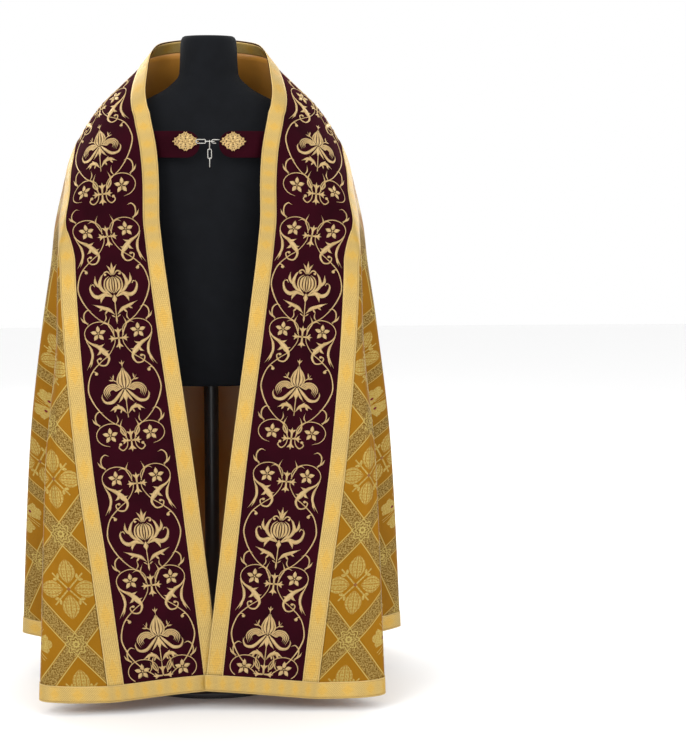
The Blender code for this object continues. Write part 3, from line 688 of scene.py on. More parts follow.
def fringe_finish():
    look = Finish("bullion strands", (0.66, 0.56, 0.33), 0.40, 0.45)
    s, c = look.cloth()
    twist = (s + c).wave(0.0034)
    tone = look.noise(look.spread(s * 0.02 + c, c), 220, 1.0)
    base = look.mix(tone, (0.70, 0.60, 0.36), (0.50, 0.41, 0.20))
    # The troughs of the twist are darkened: painted shade in the grooves of each twisted strand.
    look.colour(look.mix(twist.under(-0.45, 0.4) * 0.6, base, (0.34, 0.17, 0.06)))
    look.bump(twist, 0.0006, 1.0)
    return look.material


def metal_finish(name, colour, roughness):
    look = Finish(name, colour, roughness, 1.0)
    spot = look.spot()
    wear = look.noise(spot, 90, 3.0)
    look.colour(look.mix(wear, colour, tuple(c * 0.72 for c in colour)))
    look.vary("Roughness", wear * 0.18 + (roughness - 0.06))
    look.bump(look.noise(spot, 600, 2.0), 0.0002, 0.4)
    return look.material


def jersey_finish():
    look = Finish("black jersey", (0.006, 0.0065, 0.008), 0.85, 0.0, Sheen_Weight=0.02,
                  Specular_IOR_Level=0.12)
    x, y, z = look.place()
    spot = look.spread(x, y, z)
    look.colour(look.mix(look.noise(spot, 30, 3.0), (0.0035, 0.004, 0.005), (0.007, 0.008, 0.0105)))
    look.bump((x + y).wave(0.0016) * 0.5 + z.wave(0.0013) * 0.5, 0.0003, 0.6)
    return look.material


def paint_finish():
    look = Finish("black stand paint", (0.022, 0.022, 0.024), 0.42, 0.0, Coat_Weight=0.3)
    spot = look.spot()
    look.vary("Roughness", look.noise(spot, 40, 3.0) * 0.25 + 0.3)
    look.bump(look.noise(spot, 500, 2.0), 0.0002, 0.4)
    return look.material


# --- the cloth pieces -------------------------------------------------------------------------
def arc_from(start_u, u, z):
    """Metres of cloth round the section from start_u to u at height z."""
    shares = np.linspace(0, 1, 25)
    total = np.zeros(u.shape)
    before = plan_points(np.full(u.shape, float(start_u)), z)
    for share in shares[1:]:
        here = plan_points(blend(float(start_u), u, share), z)
        total += np.linalg.norm(here - before, axis=1)
        before = here
    return total


def body_z(u, b):
    return blend(hem_height(u), body_top(u), b)


def make_body(front_cloth, back_cloth):
    """The two fronts and the back of the body, each cut with its own lie of the pattern."""
    for side, hand in SIDES:
        def place(a, b, side=side):
            u = blend(FRONT_EDGE_U, float(SEAM_U), a)
            return cope_points(side, u, body_z(u, b))

        def uv(a, b):
            u = blend(FRONT_EDGE_U, float(SEAM_U), a)
            z = body_z(u, b)
            return arc_from(FRONT_EDGE_U, u, z), z

        piece = sheet_mesh("brocade_body_" + hand, 150, 130, place, uv, CLOTH, front_cloth)
        settle(piece, "cope", "brocade", "body_" + hand)

    def across(a):
        """u and side right across the back: a runs from the -X seam to the +X seam."""
        u = CENTRE_BACK - np.abs(a - 0.5) * 2 * (CENTRE_BACK - SEAM_U)
        return u, a < 0.5

    def place(a, b):
        u, left = across(a)
        points, normals = cope_points(1, u, body_z(u, b))
        twin, twin_normals = cope_points(-1, u, body_z(u, b))
        return np.where(left[:, None], twin, points), np.where(left[:, None], twin_normals, normals)

    def uv(a, b):
        u, left = across(a)
        z = body_z(u, b)
        return np.where(left, -1, 1) * arc_from(CENTRE_BACK, u, z), z

    back = sheet_mesh("brocade_body_back", 170, 130, place, uv, CLOTH, back_cloth)
    settle(back, "cope", "brocade", "body_back")


def make_orphreys(velvet):
    for side, hand in SIDES:
        def place(a, b, side=side):
            return band_points(side, b * LAST_LINE, a)

        def uv(a, b):
            line = b * LAST_LINE
            return length_of_line(line), (a - 0.5) * width_of_line(line)

        piece = sheet_mesh("velvet_orphrey_" + hand, 26, 330, place, uv, CLOTH, velvet)
        settle(piece, "cope", "velvet", "orphrey_" + hand)


def inside_band(side, low, high, depth):
    """The inner side of a band, over these shares of its width."""
    def place(a, b):
        line = LINING_START_LINE + b * (LAST_LINE - LINING_START_LINE)
        points, normals = band_points(side, line, blend(low, high, a), depth)
        return points, -normals

    return place


def make_lining(satin, gold):
    """The satin behind the bands and the body, and the braid that faces the open edge's inner side."""
    for side, hand in SIDES:
        def body_place(a, b, side=side):
            u = blend(FRONT_EDGE_U, float(CENTRE_BACK), a)
            points, normals = cope_points(side, u, body_z(u, b * 0.995 + 0.004), LINING_DEPTH)
            return points, -normals

        def uv(a, b):
            return a, b

        def braid_uv(a, b):
            return b * ORPHREY_BRAID_LENGTH, (a - 0.5) * GALLOON_WIDTH

        facing = sheet_mesh("facing_braid_" + hand, 6, 300, inside_band(side, 0.012, 0.135, FACING_DEPTH),
                            braid_uv, LINING, gold)
        settle(facing, "cope", "galloon")
        band = sheet_mesh("lining_band_" + hand, 14, 200, inside_band(side, 0.13, 1.0, LINING_DEPTH),
                          uv, LINING, satin)
        settle(band, "cope", "lining", *(["lining"] if side < 0 else []))
        body = sheet_mesh("lining_body_" + hand, 130, 80, body_place, uv, LINING, satin)
        settle(body, "cope", "lining")


def strip(name, length, place, steps, material, slot, *nodes, width=GALLOON_WIDTH):
    """A strip of braid: place(along, share) with share 0..1 over its width."""
    def uv(a, b):
        return b * length, (a - 0.5) * width

    piece = sheet_mesh(name, 6, steps, lambda a, b: place(b, a), uv, GALLOON, material)
    settle(piece, "cope", slot, *nodes)


def make_band_galloons(gold):
    start = float(line_of_length(GALLOON_WIDTH))
    for side, hand in SIDES:
        for edge in ("edge", "outer"):
            def place(along, share, side=side, edge=edge):
                line = blend(start, LAST_LINE - 0.002, along)
                part = GALLOON_WIDTH / width_of_line(line)
                across = share * part if edge == "edge" else 1 - part + share * part
                return band_points(side, line, across, GALLOON_LIFT)

            strip("braid_%s_%s" % (edge, hand), ORPHREY_BRAID_LENGTH, place, 420, gold, "galloon",
                  "galloon_%s_%s" % (edge, hand))


def make_centre_galloon(gold):
    def place(along, share):
        x = (share - 0.5) * GALLOON_WIDTH
        across = blend(0.16, 0.84, along)
        line = LAST_LINE - np.abs(x) / 0.1
        points, normals = band_points(1, line, across, GALLOON_LIFT + 0.0012)
        flip = np.stack([np.where(x < 0, -1.0, 1.0)] + [np.ones(len(x))] * 2, axis=-1)
        points = points * flip
        points[:, 0] = x
        return points, normals * flip

    strip("braid_centre_back", CENTRE_BRAID_LENGTH, place, 60, gold, "galloon", "galloon_centre_back")


BAND_PATH = 2.2                 # the band's part of the hem's path, whose other steps are fold lines


def make_hem_galloon(gold):
    """Round the whole hem, over the ends of the orphreys and along the body."""
    for side, hand in SIDES:
        def place(along, share, side=side):
            path = along * (CENTRE_BACK - 1 + BAND_PATH)
            on_band = path < BAND_PATH
            across = np.clip(path / BAND_PATH, 0, 1)
            u = np.where(on_band, blend(edge_u(0), outer_u(0), across),
                         np.clip(path - BAND_PATH + 1, 1, CENTRE_BACK))
            low = np.where(on_band, blend(edge_z(0), outer_z(0), across), hem_height(u))
            return cope_points(side, u, low + share * GALLOON_WIDTH, GALLOON_LIFT)

        strip("braid_hem_" + hand, HEM_BRAID_LENGTH, place, 620, gold, "galloon",
              *(["galloon_hem"] if side < 0 else []))


# --- the embroidery ----------------------------------------------------------------------------
class Drawing:
    """Padded stitching drawn flat, in millimetres: smooth strokes that swell and taper."""

    def __init__(self):
        self.strokes = []

    def stroke(self, points, widths, steps=4):
        """One stroke through the points, with a width at each of them."""
        points = np.array(points, float)
        ends = np.vstack([2 * points[0] - points[1], points, 2 * points[-1] - points[-2]])
        path, wide = [], []
        for i in range(len(points) - 1):
            p0, p1, p2, p3 = ends[i:i + 4]
            for t in np.linspace(0, 1, steps, endpoint=False):
                path.append(0.5 * (2 * p1 + (p2 - p0) * t + (2 * p0 - 5 * p1 + 4 * p2 - p3) * t ** 2
                                   + (3 * p1 - p0 - 3 * p2 + p3) * t ** 3))
                wide.append(blend(widths[i], widths[i + 1], t * t * (3 - 2 * t)))
        path.append(points[-1])
        wide.append(widths[-1])
        self.strokes.append((np.array(path), np.array(wide)))

    def leaf(self, base, tip, width, bend=0.0):
        """A pointed leaf or petal from base to tip; bend bows it to its left."""
        base, tip = np.array(base, float), np.array(tip, float)
        aside = np.array([base[1] - tip[1], tip[0] - base[0]]) * bend
        points = [base, blend(base, tip, 0.3) + aside * 0.8, blend(base, tip, 0.6) + aside, tip]
        self.stroke(points, [width * 0.25, width * 0.9, width, 0.15], 3)

    def ball(self, x, y, radius):
        points = [(x - radius, y), (x - radius * 0.5, y), (x + radius * 0.5, y), (x + radius, y)]
        self.stroke(points, [0.3, radius * 1.7, radius * 1.7, 0.3], 2)

    def add(self, other, dx=0.0, dy=0.0, turn=0.0, scale=1.0, flip=False):
        """Another drawing worked into this one, moved, turned and perhaps mirrored."""
        c, s = math.cos(math.radians(turn)) * scale, math.sin(math.radians(turn)) * scale
        spin = np.array([[c, s], [-s, c]])
        for path, wide in other.strokes:
            path = path * (-1, 1) if flip else path
            self.strokes.append((path @ spin + (dx, dy), wide * scale))
        return self

    def both_ways(self):
        """The drawing with its mirror image."""
        return Drawing().add(self).add(self, flip=True)


def flower(size=17.0):
    """Five pointed petals round a button."""
    made = Drawing()
    for k in range(5):
        turn = math.radians(90 + 72 * k)
        way = np.array([math.cos(turn), math.sin(turn)])
        made.stroke([way * size * 0.16, way * size * 0.42, way * size * 0.68, way * size],
                    [size * 0.12, size * 0.50, size * 0.42, 0.2], 3)
    made.ball(0, 0, size * 0.10)
    return made


def four_ways(arm, across):
    """The arm up and down at full size, and to each side at the scale across."""
    made = Drawing()
    for turn in (0, 90, 180, 270):
        made.add(arm, turn=turn, scale=1.0 if turn % 180 == 0 else across)
    return made


def leafy_cross():
    """The knot that gathers the stems: a cross with leafed ends."""
    arm = Drawing()
    arm.stroke([(0, 1), (0, 8), (0, 15), (0, 24)], [3.2, 4.0, 6.5, 0.2])
    for hand in (-1, 1):
        arm.leaf((hand * 1.5, 11), (hand * 8.5, 19), 3.6, 0.15 * hand)
    return four_ways(arm, 0.9)


def ring_and_curl():
    """A ring round a flower, with its curl and a shoot from the knot."""
    made = Drawing()
    ring = [(40 + 31 * math.cos(a), 14 + 24 * math.sin(a)) for a in np.radians(np.arange(200, -81, -28))]
    made.stroke(ring, [1.4] + [1.9] * (len(ring) - 2) + [0.8])
    made.add(flower(), 42, 13)
    made.stroke([(61, 33), (68, 44), (68, 57), (60, 65), (51, 62)], [1.6, 2.4, 3.2, 2.4, 0.4])
    made.leaf((60, 36), (76, 52), 4.0, -0.12)
    made.stroke([(9, 6), (14, 19), (19, 31), (13, 46)], [1.4, 2.4, 3.2, 0.2])
    return made


def scroll():
    """One side of a knot: the ring and its curl, with an acanthus leaf and a lily tail."""
    made = ring_and_curl()
    made.stroke([(18, 28), (27, 34), (36, 30)], [1.0, 2.4, 0.4])
    made.stroke([(70, 4), (60, -6), (46, -14), (34, -26), (25, -40), (32, -54), (45, -53), (50, -43),
                 (44, -38)],
                [1.4, 3.2, 7.5, 11.0, 5.0, 3.4, 3.0, 2.6, 1.8])
    made.leaf((52, -10), (31, -9), 5.0, 0.2)
    made.leaf((41, -17), (50, -32), 5.5, -0.2)
    made.leaf((36, -22), (22, -24), 4.0, 0.2)
    made.ball(43, -40, 3.0)
    made.stroke([(71, 7), (66, -6), (60, -20), (60, -38), (74, -61)], [1.3, 2.2, 5.6, 5.2, 0.3])
    made.leaf((60, -30), (67, -58), 3.4, -0.08)
    return made


def long_stem():
    """The bowed stem from one knot to the next, with a ball-ended tendril."""
    made = Drawing()
    made.stroke([(8, 4), (10, -12), (24, -33), (44, -48), (66, -70), (76, -102), (71, -126), (58, -150),
                 (40, -171), (20, -186), (11, -202), (8, -214)],
                [1.5, 1.8, 1.9, 2.1, 2.4, 3.0, 3.2, 2.4, 2.0, 2.0, 1.9, 1.5])
    made.stroke([(69, -76), (62, -66), (55, -68)], [1.6, 2.2, 2.6])
    made.ball(55, -71, 3.8)
    made.stroke([(28, -181), (22, -172), (24, -160)], [1.2, 2.8, 0.2])
    return made


def pomegranate():
    """A ribbed fruit in curling leaves on a short stem; its middle is 102 below the knot."""
    half = Drawing()
    half.stroke([(2.2, -86), (5.5, -96), (5.5, -110), (1.5, -120)], [1.5, 4.6, 4.6, 1.0])
    half.stroke([(5, -86), (11.5, -95), (12, -109), (4.5, -119)], [1.2, 5.2, 5.2, 1.0])
    half.stroke([(8, -84), (17, -92), (18.5, -108), (8, -123), (3, -127)], [1.2, 2.8, 3.8, 3.2, 1.2])
    half.leaf((2, -82), (11, -60), 4.2, 0.1)
    half.stroke([(3, -82), (10, -74), (17, -76), (17, -82)], [1.2, 3.0, 3.0, 1.6])
    half.ball(15, -80, 2.6)
    half.stroke([(11, -120), (22, -114), (29, -101), (25, -86), (18, -76)], [2.0, 6.0, 8.0, 4.5, 0.2])
    half.leaf((25, -108), (37, -80), 6.0, -0.2)
    half.stroke([(5, -128), (20, -122), (34, -126), (45, -120), (50, -106), (47, -96)],
                [2.0, 7.5, 8.5, 6.5, 4.0, 0.3])
    half.stroke([(48, -100), (43, -98), (40, -103)], [1.0, 2.6, 1.6])
    half.leaf((18, -123), (30, -140), 5.5, 0.15)
    half.stroke([(3, -166), (14, -155), (28, -149), (48, -140)], [1.2, 7.5, 7.0, 0.2])
    half.leaf((16, -154), (24, -164), 4.0)
    half.leaf((26, -150), (36, -156), 3.6)
    half.leaf((1.5, -172), (10, -166), 2.6)
    made = half.both_ways()
    made.leaf((0, -82), (0, -54), 5.2)
    made.stroke([(0, -85), (0, -102), (0, -121)], [1.2, 3.6, 1.0])
    made.stroke([(0, -124), (0, -133), (0, -142)], [3.0, 10.0, 2.0])
    made.stroke([(0, -141), (0, -160), (0, -182)], [2.2, 2.0, 2.0])
    made.leaf((0, -168), (0, -186), 4.0)
    return made


def lily():
    """A pointed bud over striped drooping petals, on a stem with two toothed leaves."""
    half = Drawing()
    half.stroke([(1.5, -66), (6, -82), (8.5, -100), (3, -114)], [1.2, 5.0, 6.5, 1.5])
    half.stroke([(3, -70), (11, -84), (15, -100), (7, -115)], [0.8, 3.0, 3.6, 1.4])
    half.stroke([(13, -100), (22, -95), (30, -84)], [1.4, 2.2, 0.3])
    half.leaf((22, -95), (34, -93), 3.2)
    half.leaf((24, -93), (22, -80), 3.0)
    for share in (1.0, 0.80, 0.61, 0.43):
        arc = [(27 + 21 * share * math.cos(a), -124 + 20 * share * math.sin(a))
               for a in np.radians((150, 105, 60, 10, -45))]
        half.stroke([(4, -112)] + arc, [1.2, 2.8, 3.2, 3.0, 2.4, 0.4], 3)
    half.stroke([(3, -116), (14, -130), (30, -146), (46, -146), (53, -134), (51, -124)],
                [2.0, 6.0, 7.0, 5.0, 3.0, 0.3])
    half.stroke([(3, -124), (9, -138), (18, -150)], [2.0, 5.0, 0.3])
    half.stroke([(2, -176), (12, -163), (24, -160), (40, -168)], [1.2, 7.0, 7.5, 0.2])
    half.leaf((14, -162), (22, -152), 3.8)
    half.leaf((24, -161), (30, -172), 4.2)
    half.leaf((12, -165), (16, -175), 3.6)
    made = half.both_ways()
    made.stroke([(0, -62), (0, -80), (0, -100), (0, -116)], [0.6, 4.2, 6.0, 2.0])
    made.leaf((0, -63), (0, -46), 3.0)
    made.leaf((0, -58), (6, -50), 2.2)
    made.leaf((0, -58), (-6, -50), 2.2)
    made.stroke([(0, -118), (0, -132), (0, -148)], [4.0, 10.5, 1.6])
    made.stroke([(0, -146), (0, -165), (0, -186)], [2.0, 2.0, 1.8])
    made.strokes = [(path * [0.93, 0.87] + [0, -6], wide) for path, wide in made.strokes]
    return made


def closing_curls():
    made = Drawing()
    made.stroke([(7, 4), (10, -12), (19, -20), (27, -14), (24, -7)], [1.5, 2.2, 2.6, 2.6, 2.0])
    made.ball(23, -7, 3.4)
    made.leaf((9, 8), (20, 31), 3.2, -0.15)
    return made


KNOT_STEP = 216                 # from one knot to the next inside a repeat, in millimetres
OPENING_KNOTS = [0.449, 0.972, 1.494]
CLOSING_RISE = [26, 0, 0]       # the lowest repeat is shortened at the hem


def band_repeat(closing_rise):
    """One repeat of the orphrey, hanging from its opening knot at (0, 0)."""
    half = Drawing().add(scroll()).add(long_stem())
    half.add(scroll(), 0, -KNOT_STEP).add(long_stem(), 0, -KNOT_STEP)
    low = -2 * KNOT_STEP + closing_rise
    half.add(ring_and_curl(), 0, low).add(closing_curls(), 0, low)
    made = half.both_ways()
    for y in (0, -KNOT_STEP, low):
        made.add(leafy_cross(), 0, y)
    made.add(pomegranate())
    made.add(lily(), 0, -KNOT_STEP)
    return made


STITCH = 0.35 * MM


def stitch(name, drawing, place, material):
    """The drawing as raised stitching: place(x, y, lift) puts millimetres on the cloth."""
    bm = bmesh.new()
    bm.loops.layers.uv.new("UVMap")
    plan, uvs = [], []
    for path, wide in drawing.strokes:
        count = len(path)
        grid = bmesh.ops.create_grid(bm, x_segments=count - 1, y_segments=2, size=0.5)["verts"]
        ahead = np.gradient(path, axis=0)
        ahead /= np.maximum(np.linalg.norm(ahead, axis=1, keepdims=True), 1e-9)
        aside = np.stack([-ahead[:, 1], ahead[:, 0]], axis=-1)
        along = np.concatenate([[0], np.cumsum(np.linalg.norm(np.diff(path, axis=0), axis=1))])
        for vert in grid:
            i = round((vert.co.x + 0.5) * (count - 1))
            share = round(vert.co.y * 2) / 2
            spot = path[i] + aside[i] * wide[i] * share
            crown = min(1.5, 0.55 + 0.13 * wide[i])
            plan.append((spot[0], spot[1], 0.15 if share else crown))
            uvs.append((along[i] * MM, share * wide[i] * MM))
    plan = np.array(plan)
    points, normals = place(plan[:, 0], plan[:, 1], plan[:, 2] * MM)
    lay_uv(bm, uvs)
    move_to(bm, points)
    return shell(bm, name, normals, STITCH, material)


def make_band_embroidery(thread):
    for side, hand in SIDES:
        drawing = Drawing()
        for knot, rise in zip(OPENING_KNOTS, CLOSING_RISE):
            drawing.add(band_repeat(rise), 0, knot / MM)
        low, high = GALLOON_WIDTH / MM + 3, AXIS_LENGTH[-1] / MM - 20
        inside = [(path[:, 1] > low) & (path[:, 1] < high) for path, wide in drawing.strokes]
        drawing.strokes = [(path[kept], wide[kept]) for (path, wide), kept in zip(drawing.strokes, inside)
                           if kept.sum() > 3]

        def place(x, y, lift, side=side):
            line = line_of_length(y * MM)
            return band_points(side, line, 0.5 + x * MM / width_of_line(line), lift)

        piece = stitch("embroidery_orphrey_" + hand, drawing, place, thread)
        settle(piece, "cope", "galloon")


# --- the hood ----------------------------------------------------------------------------------
HOOD_HALF_WIDTH, HOOD_TOP_HALF_WIDTH = 0.262, 0.252
HOOD_LOW, HOOD_CORNER_RISE = 0.746, 0.135
HOOD_STAND_OFF = 9 * MM
HOOD_MIDDLE = 1.005             # height of the middle of its embroidery
HOOD_TOP = 1.198                # about where its sewn edge is, before that edge follows the body's top
HOOD_BELOW_TOP = 3 * MM
HOOD_NORMAL_STEP = 0.012
HOOD_CENTRE_GAP, HOOD_EDGE_GAP = 2 * MM, 4 * MM     # from the body, down its middle and at its sewn edge
HOOD_BOW = 2.2                  # how late its free part bows back towards its sides
HOOD_CORNER_POWER = 3.6
HOOD_LENGTH = 0.44
HOOD_SIDE_SHARE = 0.27          # the share of its free edge that each side takes
HOOD_BORDER = 33 * MM
FRINGE_REACH = 41 * MM
STRANDS = 470
HEADING = 6 * MM
hood_edge_depth = SmoothLine([0.70, 0.80, 0.90, 1.05, 1.12, 1.17, 1.21],
                             [0.224, 0.208, 0.182, 0.142, 0.120, 0.096, 0.082])


def u_for_width(x, z):
    """u on the back where the cope is x out from the middle."""
    low, high = np.full(x.shape, 5.0), np.full(x.shape, float(CENTRE_BACK))
    for _ in range(24):
        middle = (low + high) / 2
        wide = plan_points(middle, z)[:, 0] > x
        low, high = np.where(wide, middle, low), np.where(wide, high, middle)
    return (low + high) / 2


def hood_ends(reach):
    """Heights of the hood's sewn edge and free edge at this share of its half width."""
    top = np.full(reach.shape, HOOD_TOP)
    for _ in range(5):
        top = body_top(u_for_width(HOOD_TOP_HALF_WIDTH * reach, top)) - HOOD_BELOW_TOP
    corner = 1 - (1 - np.minimum(reach, 1) ** HOOD_CORNER_POWER) ** (1 / HOOD_CORNER_POWER)
    return top, HOOD_LOW + HOOD_CORNER_RISE * corner


def hood_half_width(down):
    return blend(HOOD_TOP_HALF_WIDTH, HOOD_HALF_WIDTH, ease(down * 1.6))


def hood_bare(across, down):
    reach = np.abs(across)
    top, low = hood_ends(reach)
    z = blend(top, low, down)
    x = hood_half_width(down) * reach
    on_body = plan_points(u_for_width(x, z), z)[:, 1]
    centre = DEPTH_AT[CENTRE_BACK](z) + HOOD_CENTRE_GAP + HOOD_STAND_OFF * ease(down * 1.4)
    free = centre - (centre - hood_edge_depth(z)) * (x / HOOD_HALF_WIDTH) ** HOOD_BOW
    y = blend(on_body + HOOD_EDGE_GAP, free, ease(down * 3.0))
    return np.stack([np.sign(across) * x, y, z], axis=-1)


def hood_points(across, down, lift=0.0):
    step = HOOD_NORMAL_STEP
    a, d = np.clip(across, -1 + step, 1 - step), np.clip(down, step, 1 - step)
    normal = np.cross(hood_bare(a + step, d) - hood_bare(a - step, d),
                      hood_bare(a, d + step) - hood_bare(a, d - step))
    normal *= np.where(normal[:, 1] < 0, -1, 1)[:, None]
    normal /= np.linalg.norm(normal, axis=1, keepdims=True)
    lift = np.broadcast_to(lift, across.shape)
    return hood_bare(across, down) + normal * lift[:, None], normal


def hood_place(x, y, lift):
    """Puts (x, y) in millimetres from the middle of the hood's embroidery on the hood."""
    x, z = x * MM, HOOD_MIDDLE + y * MM
    across = x / HOOD_HALF_WIDTH
    top, low = hood_ends(np.abs(across))
    down = np.clip((top - z) / (top - low), 0, 1)
    across = x / hood_half_width(down)
    return hood_points(np.clip(across, -1, 1), down, lift)


def hood_rim(share, inset):
    """across and down along the free edge from one top corner round to the other, set in by inset."""
    inset_side, inset_low = inset / HOOD_HALF_WIDTH, inset / HOOD_LENGTH
    side_part = HOOD_SIDE_SHARE
    down = np.where(share < side_part, share / side_part,
                    np.where(share > 1 - side_part, (1 - share) / side_part, 1.0))
    turn = (np.clip(share, side_part, 1 - side_part) - side_part) / (1 - 2 * side_part)
    across = np.where(share < side_part, -1.0, np.where(share > 1 - side_part, 1.0, 2 * turn - 1))
    return across * (1 - inset_side), down * (1 - inset_low)


def hood_circle():
    """A ring round a star flower, with a leaf springing from it."""
    made = Drawing()
    ring = [(38 * math.cos(a), 38 * math.sin(a)) for a in np.radians(np.arange(-60, 271, 30))]
    made.stroke(ring, [1.6] + [2.8] * (len(ring) - 2) + [1.2])
    made.add(flower(26))
    made.stroke([(-10, -36), (-24, -26), (-30, -14)], [2.0, 5.5, 0.3])
    return made


def hood_acanthus():
    """The acanthus leaf and tails that run out from a pair of rings."""
    made = Drawing()
    made.stroke([(30, -22), (42, -34), (44, -50), (34, -62), (22, -58), (22, -46), (30, -44)],
                [2.5, 9.0, 11.0, 6.5, 4.0, 3.4, 2.2])
    made.leaf((40, -34), (24, -36), 6.0, 0.2)
    made.leaf((44, -48), (56, -56), 6.0, 0.1)
    made.stroke([(36, -14), (54, -24), (58, -42), (68, -62)], [2.0, 4.5, 6.5, 0.3])
    made.ball(30, -46, 3.4)
    return made


def centre_cross():
    """The motif in the middle: a cross of four leaf-ended arms with curls between them."""
    arm = Drawing()
    arm.stroke([(0, 8), (0, 26), (0, 44)], [10.0, 8.5, 9.5])
    arm.stroke([(0, 40), (0, 54), (0, 74)], [7.0, 13.0, 0.4])
    for hand in (-1, 1):
        arm.stroke([(hand * 1, 42), (hand * 13, 52), (hand * 23, 50), (hand * 25, 41), (hand * 19, 38)],
                   [4.0, 7.0, 5.0, 3.6, 2.4])
        arm.ball(hand * 19, 40, 3.2)
        arm.stroke([(hand * 3, 26), (hand * 12, 30), (hand * 16, 22)], [2.0, 4.0, 0.6])
    made = Drawing()
    for turn in (0, 90, 180, 270):
        made.add(arm, turn=turn, scale=1.0 if turn % 180 == 0 else 0.94)
        spray = Drawing()
        spray.stroke([(0, 10), (0, 22), (0, 36)], [2.0, 5.5, 0.3])
        spray.leaf((0, 20), (8, 30), 3.6)
        spray.leaf((0, 20), (-8, 30), 3.6)
        made.add(spray, turn=turn + 45, scale=1.1)
    made.add(flower(15))
    return made


def hood_drawing():
    made = Drawing()
    made.add(centre_cross(), 0, 3, scale=1.08)
    half = Drawing()
    for x, y in ((62, 122), (62, -125), (134, 56), (134, -56)):
        half.add(hood_circle(), x, y)
    half.add(hood_acanthus(), 70, -128).add(hood_acanthus(), 134, -56, 90)
    mirrored = Drawing().add(hood_acanthus(), flip=True)
    half.add(mirrored, 134, 56, 90).add(mirrored, 62, 122, 180)
    spray = Drawing().add(lily(), 0, 107)
    half.add(spray, 168, 141, -45, 0.72)
    half.add(spray, 163, -137, -135, 0.72)
    for x, y in ((98, 88), (98, -92)):
        half.ball(x + 6, y, 3.6)
        half.leaf((x - 6, y), (x - 22, y - 12 * np.sign(y)), 8.0, 0.1)
        half.leaf((x - 6, y), (x - 22, y + 8 * np.sign(y)), 6.0, 0.1)
    made.add(half.both_ways())
    for x, y in ((0, 130), (0, -137), (140, 0), (-140, 0)):
        made.add(leafy_cross(), x, y, scale=1.45)
    fruit = Drawing()
    for x, bow in ((0, 0), (6, 4), (12, 9)):
        for hand in ((1,) if x == 0 else (-1, 1)):
            fruit.stroke([(hand * x * 0.4, 18), (hand * (x + bow * 0.4), 4), (hand * (x + bow * 0.2), -12),
                          (hand * x * 0.4, -20)], [1.4, 4.0, 4.0, 1.2])
    made.add(fruit, 0, -182)
    return made


def make_hood(velvet, gold, thread):
    def place(a, b):
        return hood_points(a * 2 - 1, b)

    def uv(a, b):
        return a * 0.52, b * 0.46

    hood = sheet_mesh("velvet_hood", 90, 70, place, uv, CLOTH, velvet)
    settle(hood, "cope", "velvet", "hood")

    def border(along, share):
        across, down = hood_rim(along, (1 - share) * HOOD_BORDER)
        return hood_points(across, down, 0.5 * MM + GALLOON)

    strip("braid_hood", HOOD_BRAID_LENGTH, border, 300, gold, "galloon", "galloon_hood", width=HOOD_BORDER)
    piece = stitch("embroidery_hood", hood_drawing(), hood_place, thread)
    settle(piece, "cope", "galloon")


def make_fringe(strands):
    """Twisted strands side by side along the hood's free edge, under a narrow woven heading."""
    dice = random.Random(7)
    shares = np.linspace(0.012, 0.988, STRANDS)
    rim, normals = hood_points(*hood_rim(shares, 0.0))
    ahead = np.gradient(rim, axis=0)
    outward = np.cross(ahead, normals)
    outward /= np.linalg.norm(outward, axis=1, keepdims=True)
    outward *= np.where((outward[:, 2] > 0.2) | (outward[:, 0] * rim[:, 0] < -1e-6), -1, 1)[:, None]
    fall = outward * 0.6 + (0, 0, -1)
    fall /= np.linalg.norm(fall, axis=1, keepdims=True)
    bm = bmesh.new()
    bm.loops.layers.uv.new("UVMap")
    uvs = []
    for k in range(STRANDS):
        reach = FRINGE_REACH * dice.uniform(0.84, 0.99)
        thick = dice.uniform(1.15, 1.55) * MM
        across = ahead[k] / np.linalg.norm(ahead[k])
        lean = across * dice.uniform(-0.006, 0.006)
        sway = normals[k] * dice.uniform(-0.0012, 0.0016)
        tube = bmesh.ops.create_grid(bm, x_segments=6, y_segments=9, size=0.5)["verts"]
        for vert in tube:
            turn, t = (vert.co.x + 0.5) * 2 * math.pi, vert.co.y + 0.5
            girth = thick * (1 - 0.35 * t) * (0.0 if t < 0.01 or t > 0.99 else 1.0)
            way = across * math.cos(turn) + normals[k] * math.sin(turn)
            uvs.append((t * reach, (turn / 6.3 + k) * 0.0034))
            vert.co = Vector(rim[k] + fall[k] * reach * t + lean * t * t + sway * math.sin(t * 3)
                             + way * girth)
    lay_uv(bm, uvs)
    bmesh.ops.remove_doubles(bm, verts=bm.verts, dist=0.000005)
    bmesh.ops.recalc_face_normals(bm, faces=bm.faces)
    settle(finish(bm, "fringe_strands", strands), "cope", "fringe", "fringe_hood")


def make_fringe_heading(gold):
    """The narrow woven heading that the strands hang from."""
    def place(along, share):
        across, down = hood_rim(along, 0.0)
        points, normals = hood_points(across, down, 0.3 * MM)
        return points + normals * 0.4 * MM + np.outer(share - 0.5, (0, 0, -HEADING)), normals

    strip("fringe_heading", HOOD_BRAID_LENGTH, place, 300, gold, "fringe", width=HEADING)


# --- straps, clasps and chain --------------------------------------------------------------------
STRAP_LOW, STRAP_HIGH, STRAP = 1.150, 1.206, 2.0 * MM
STRAP_END, STRAP_SEWN = 0.0205, 0.122
STRAP_PATH = [(0.0205, -0.1330), (0.050, -0.1330), (0.080, -0.1290), (0.100, -0.1215),
              (0.112, -0.1150), (0.124, -0.1130)]
CLASP_CENTRE, CLASP_HEIGHT = 50 * MM, 1.184
CLASP_LENGTH, CLASP_BREADTH = 57 * MM, 43 * MM
SCALLOPS = 14
WIRE = 2.2 * MM
LINK_LENGTH, LINK_WIDTH = 22.9 * MM, 10 * MM
LINK_PITCH = LINK_LENGTH - 2 * WIRE - 0.3 * MM
HOOK_MIDDLE, HOOK_BEND = 8.5 * MM, 3.6 * MM
HOOK_TIP, HOOK_SHANK = 6 * MM, 13 * MM
strap_depth = SmoothLine(column(STRAP_PATH, 0), column(STRAP_PATH, 1))


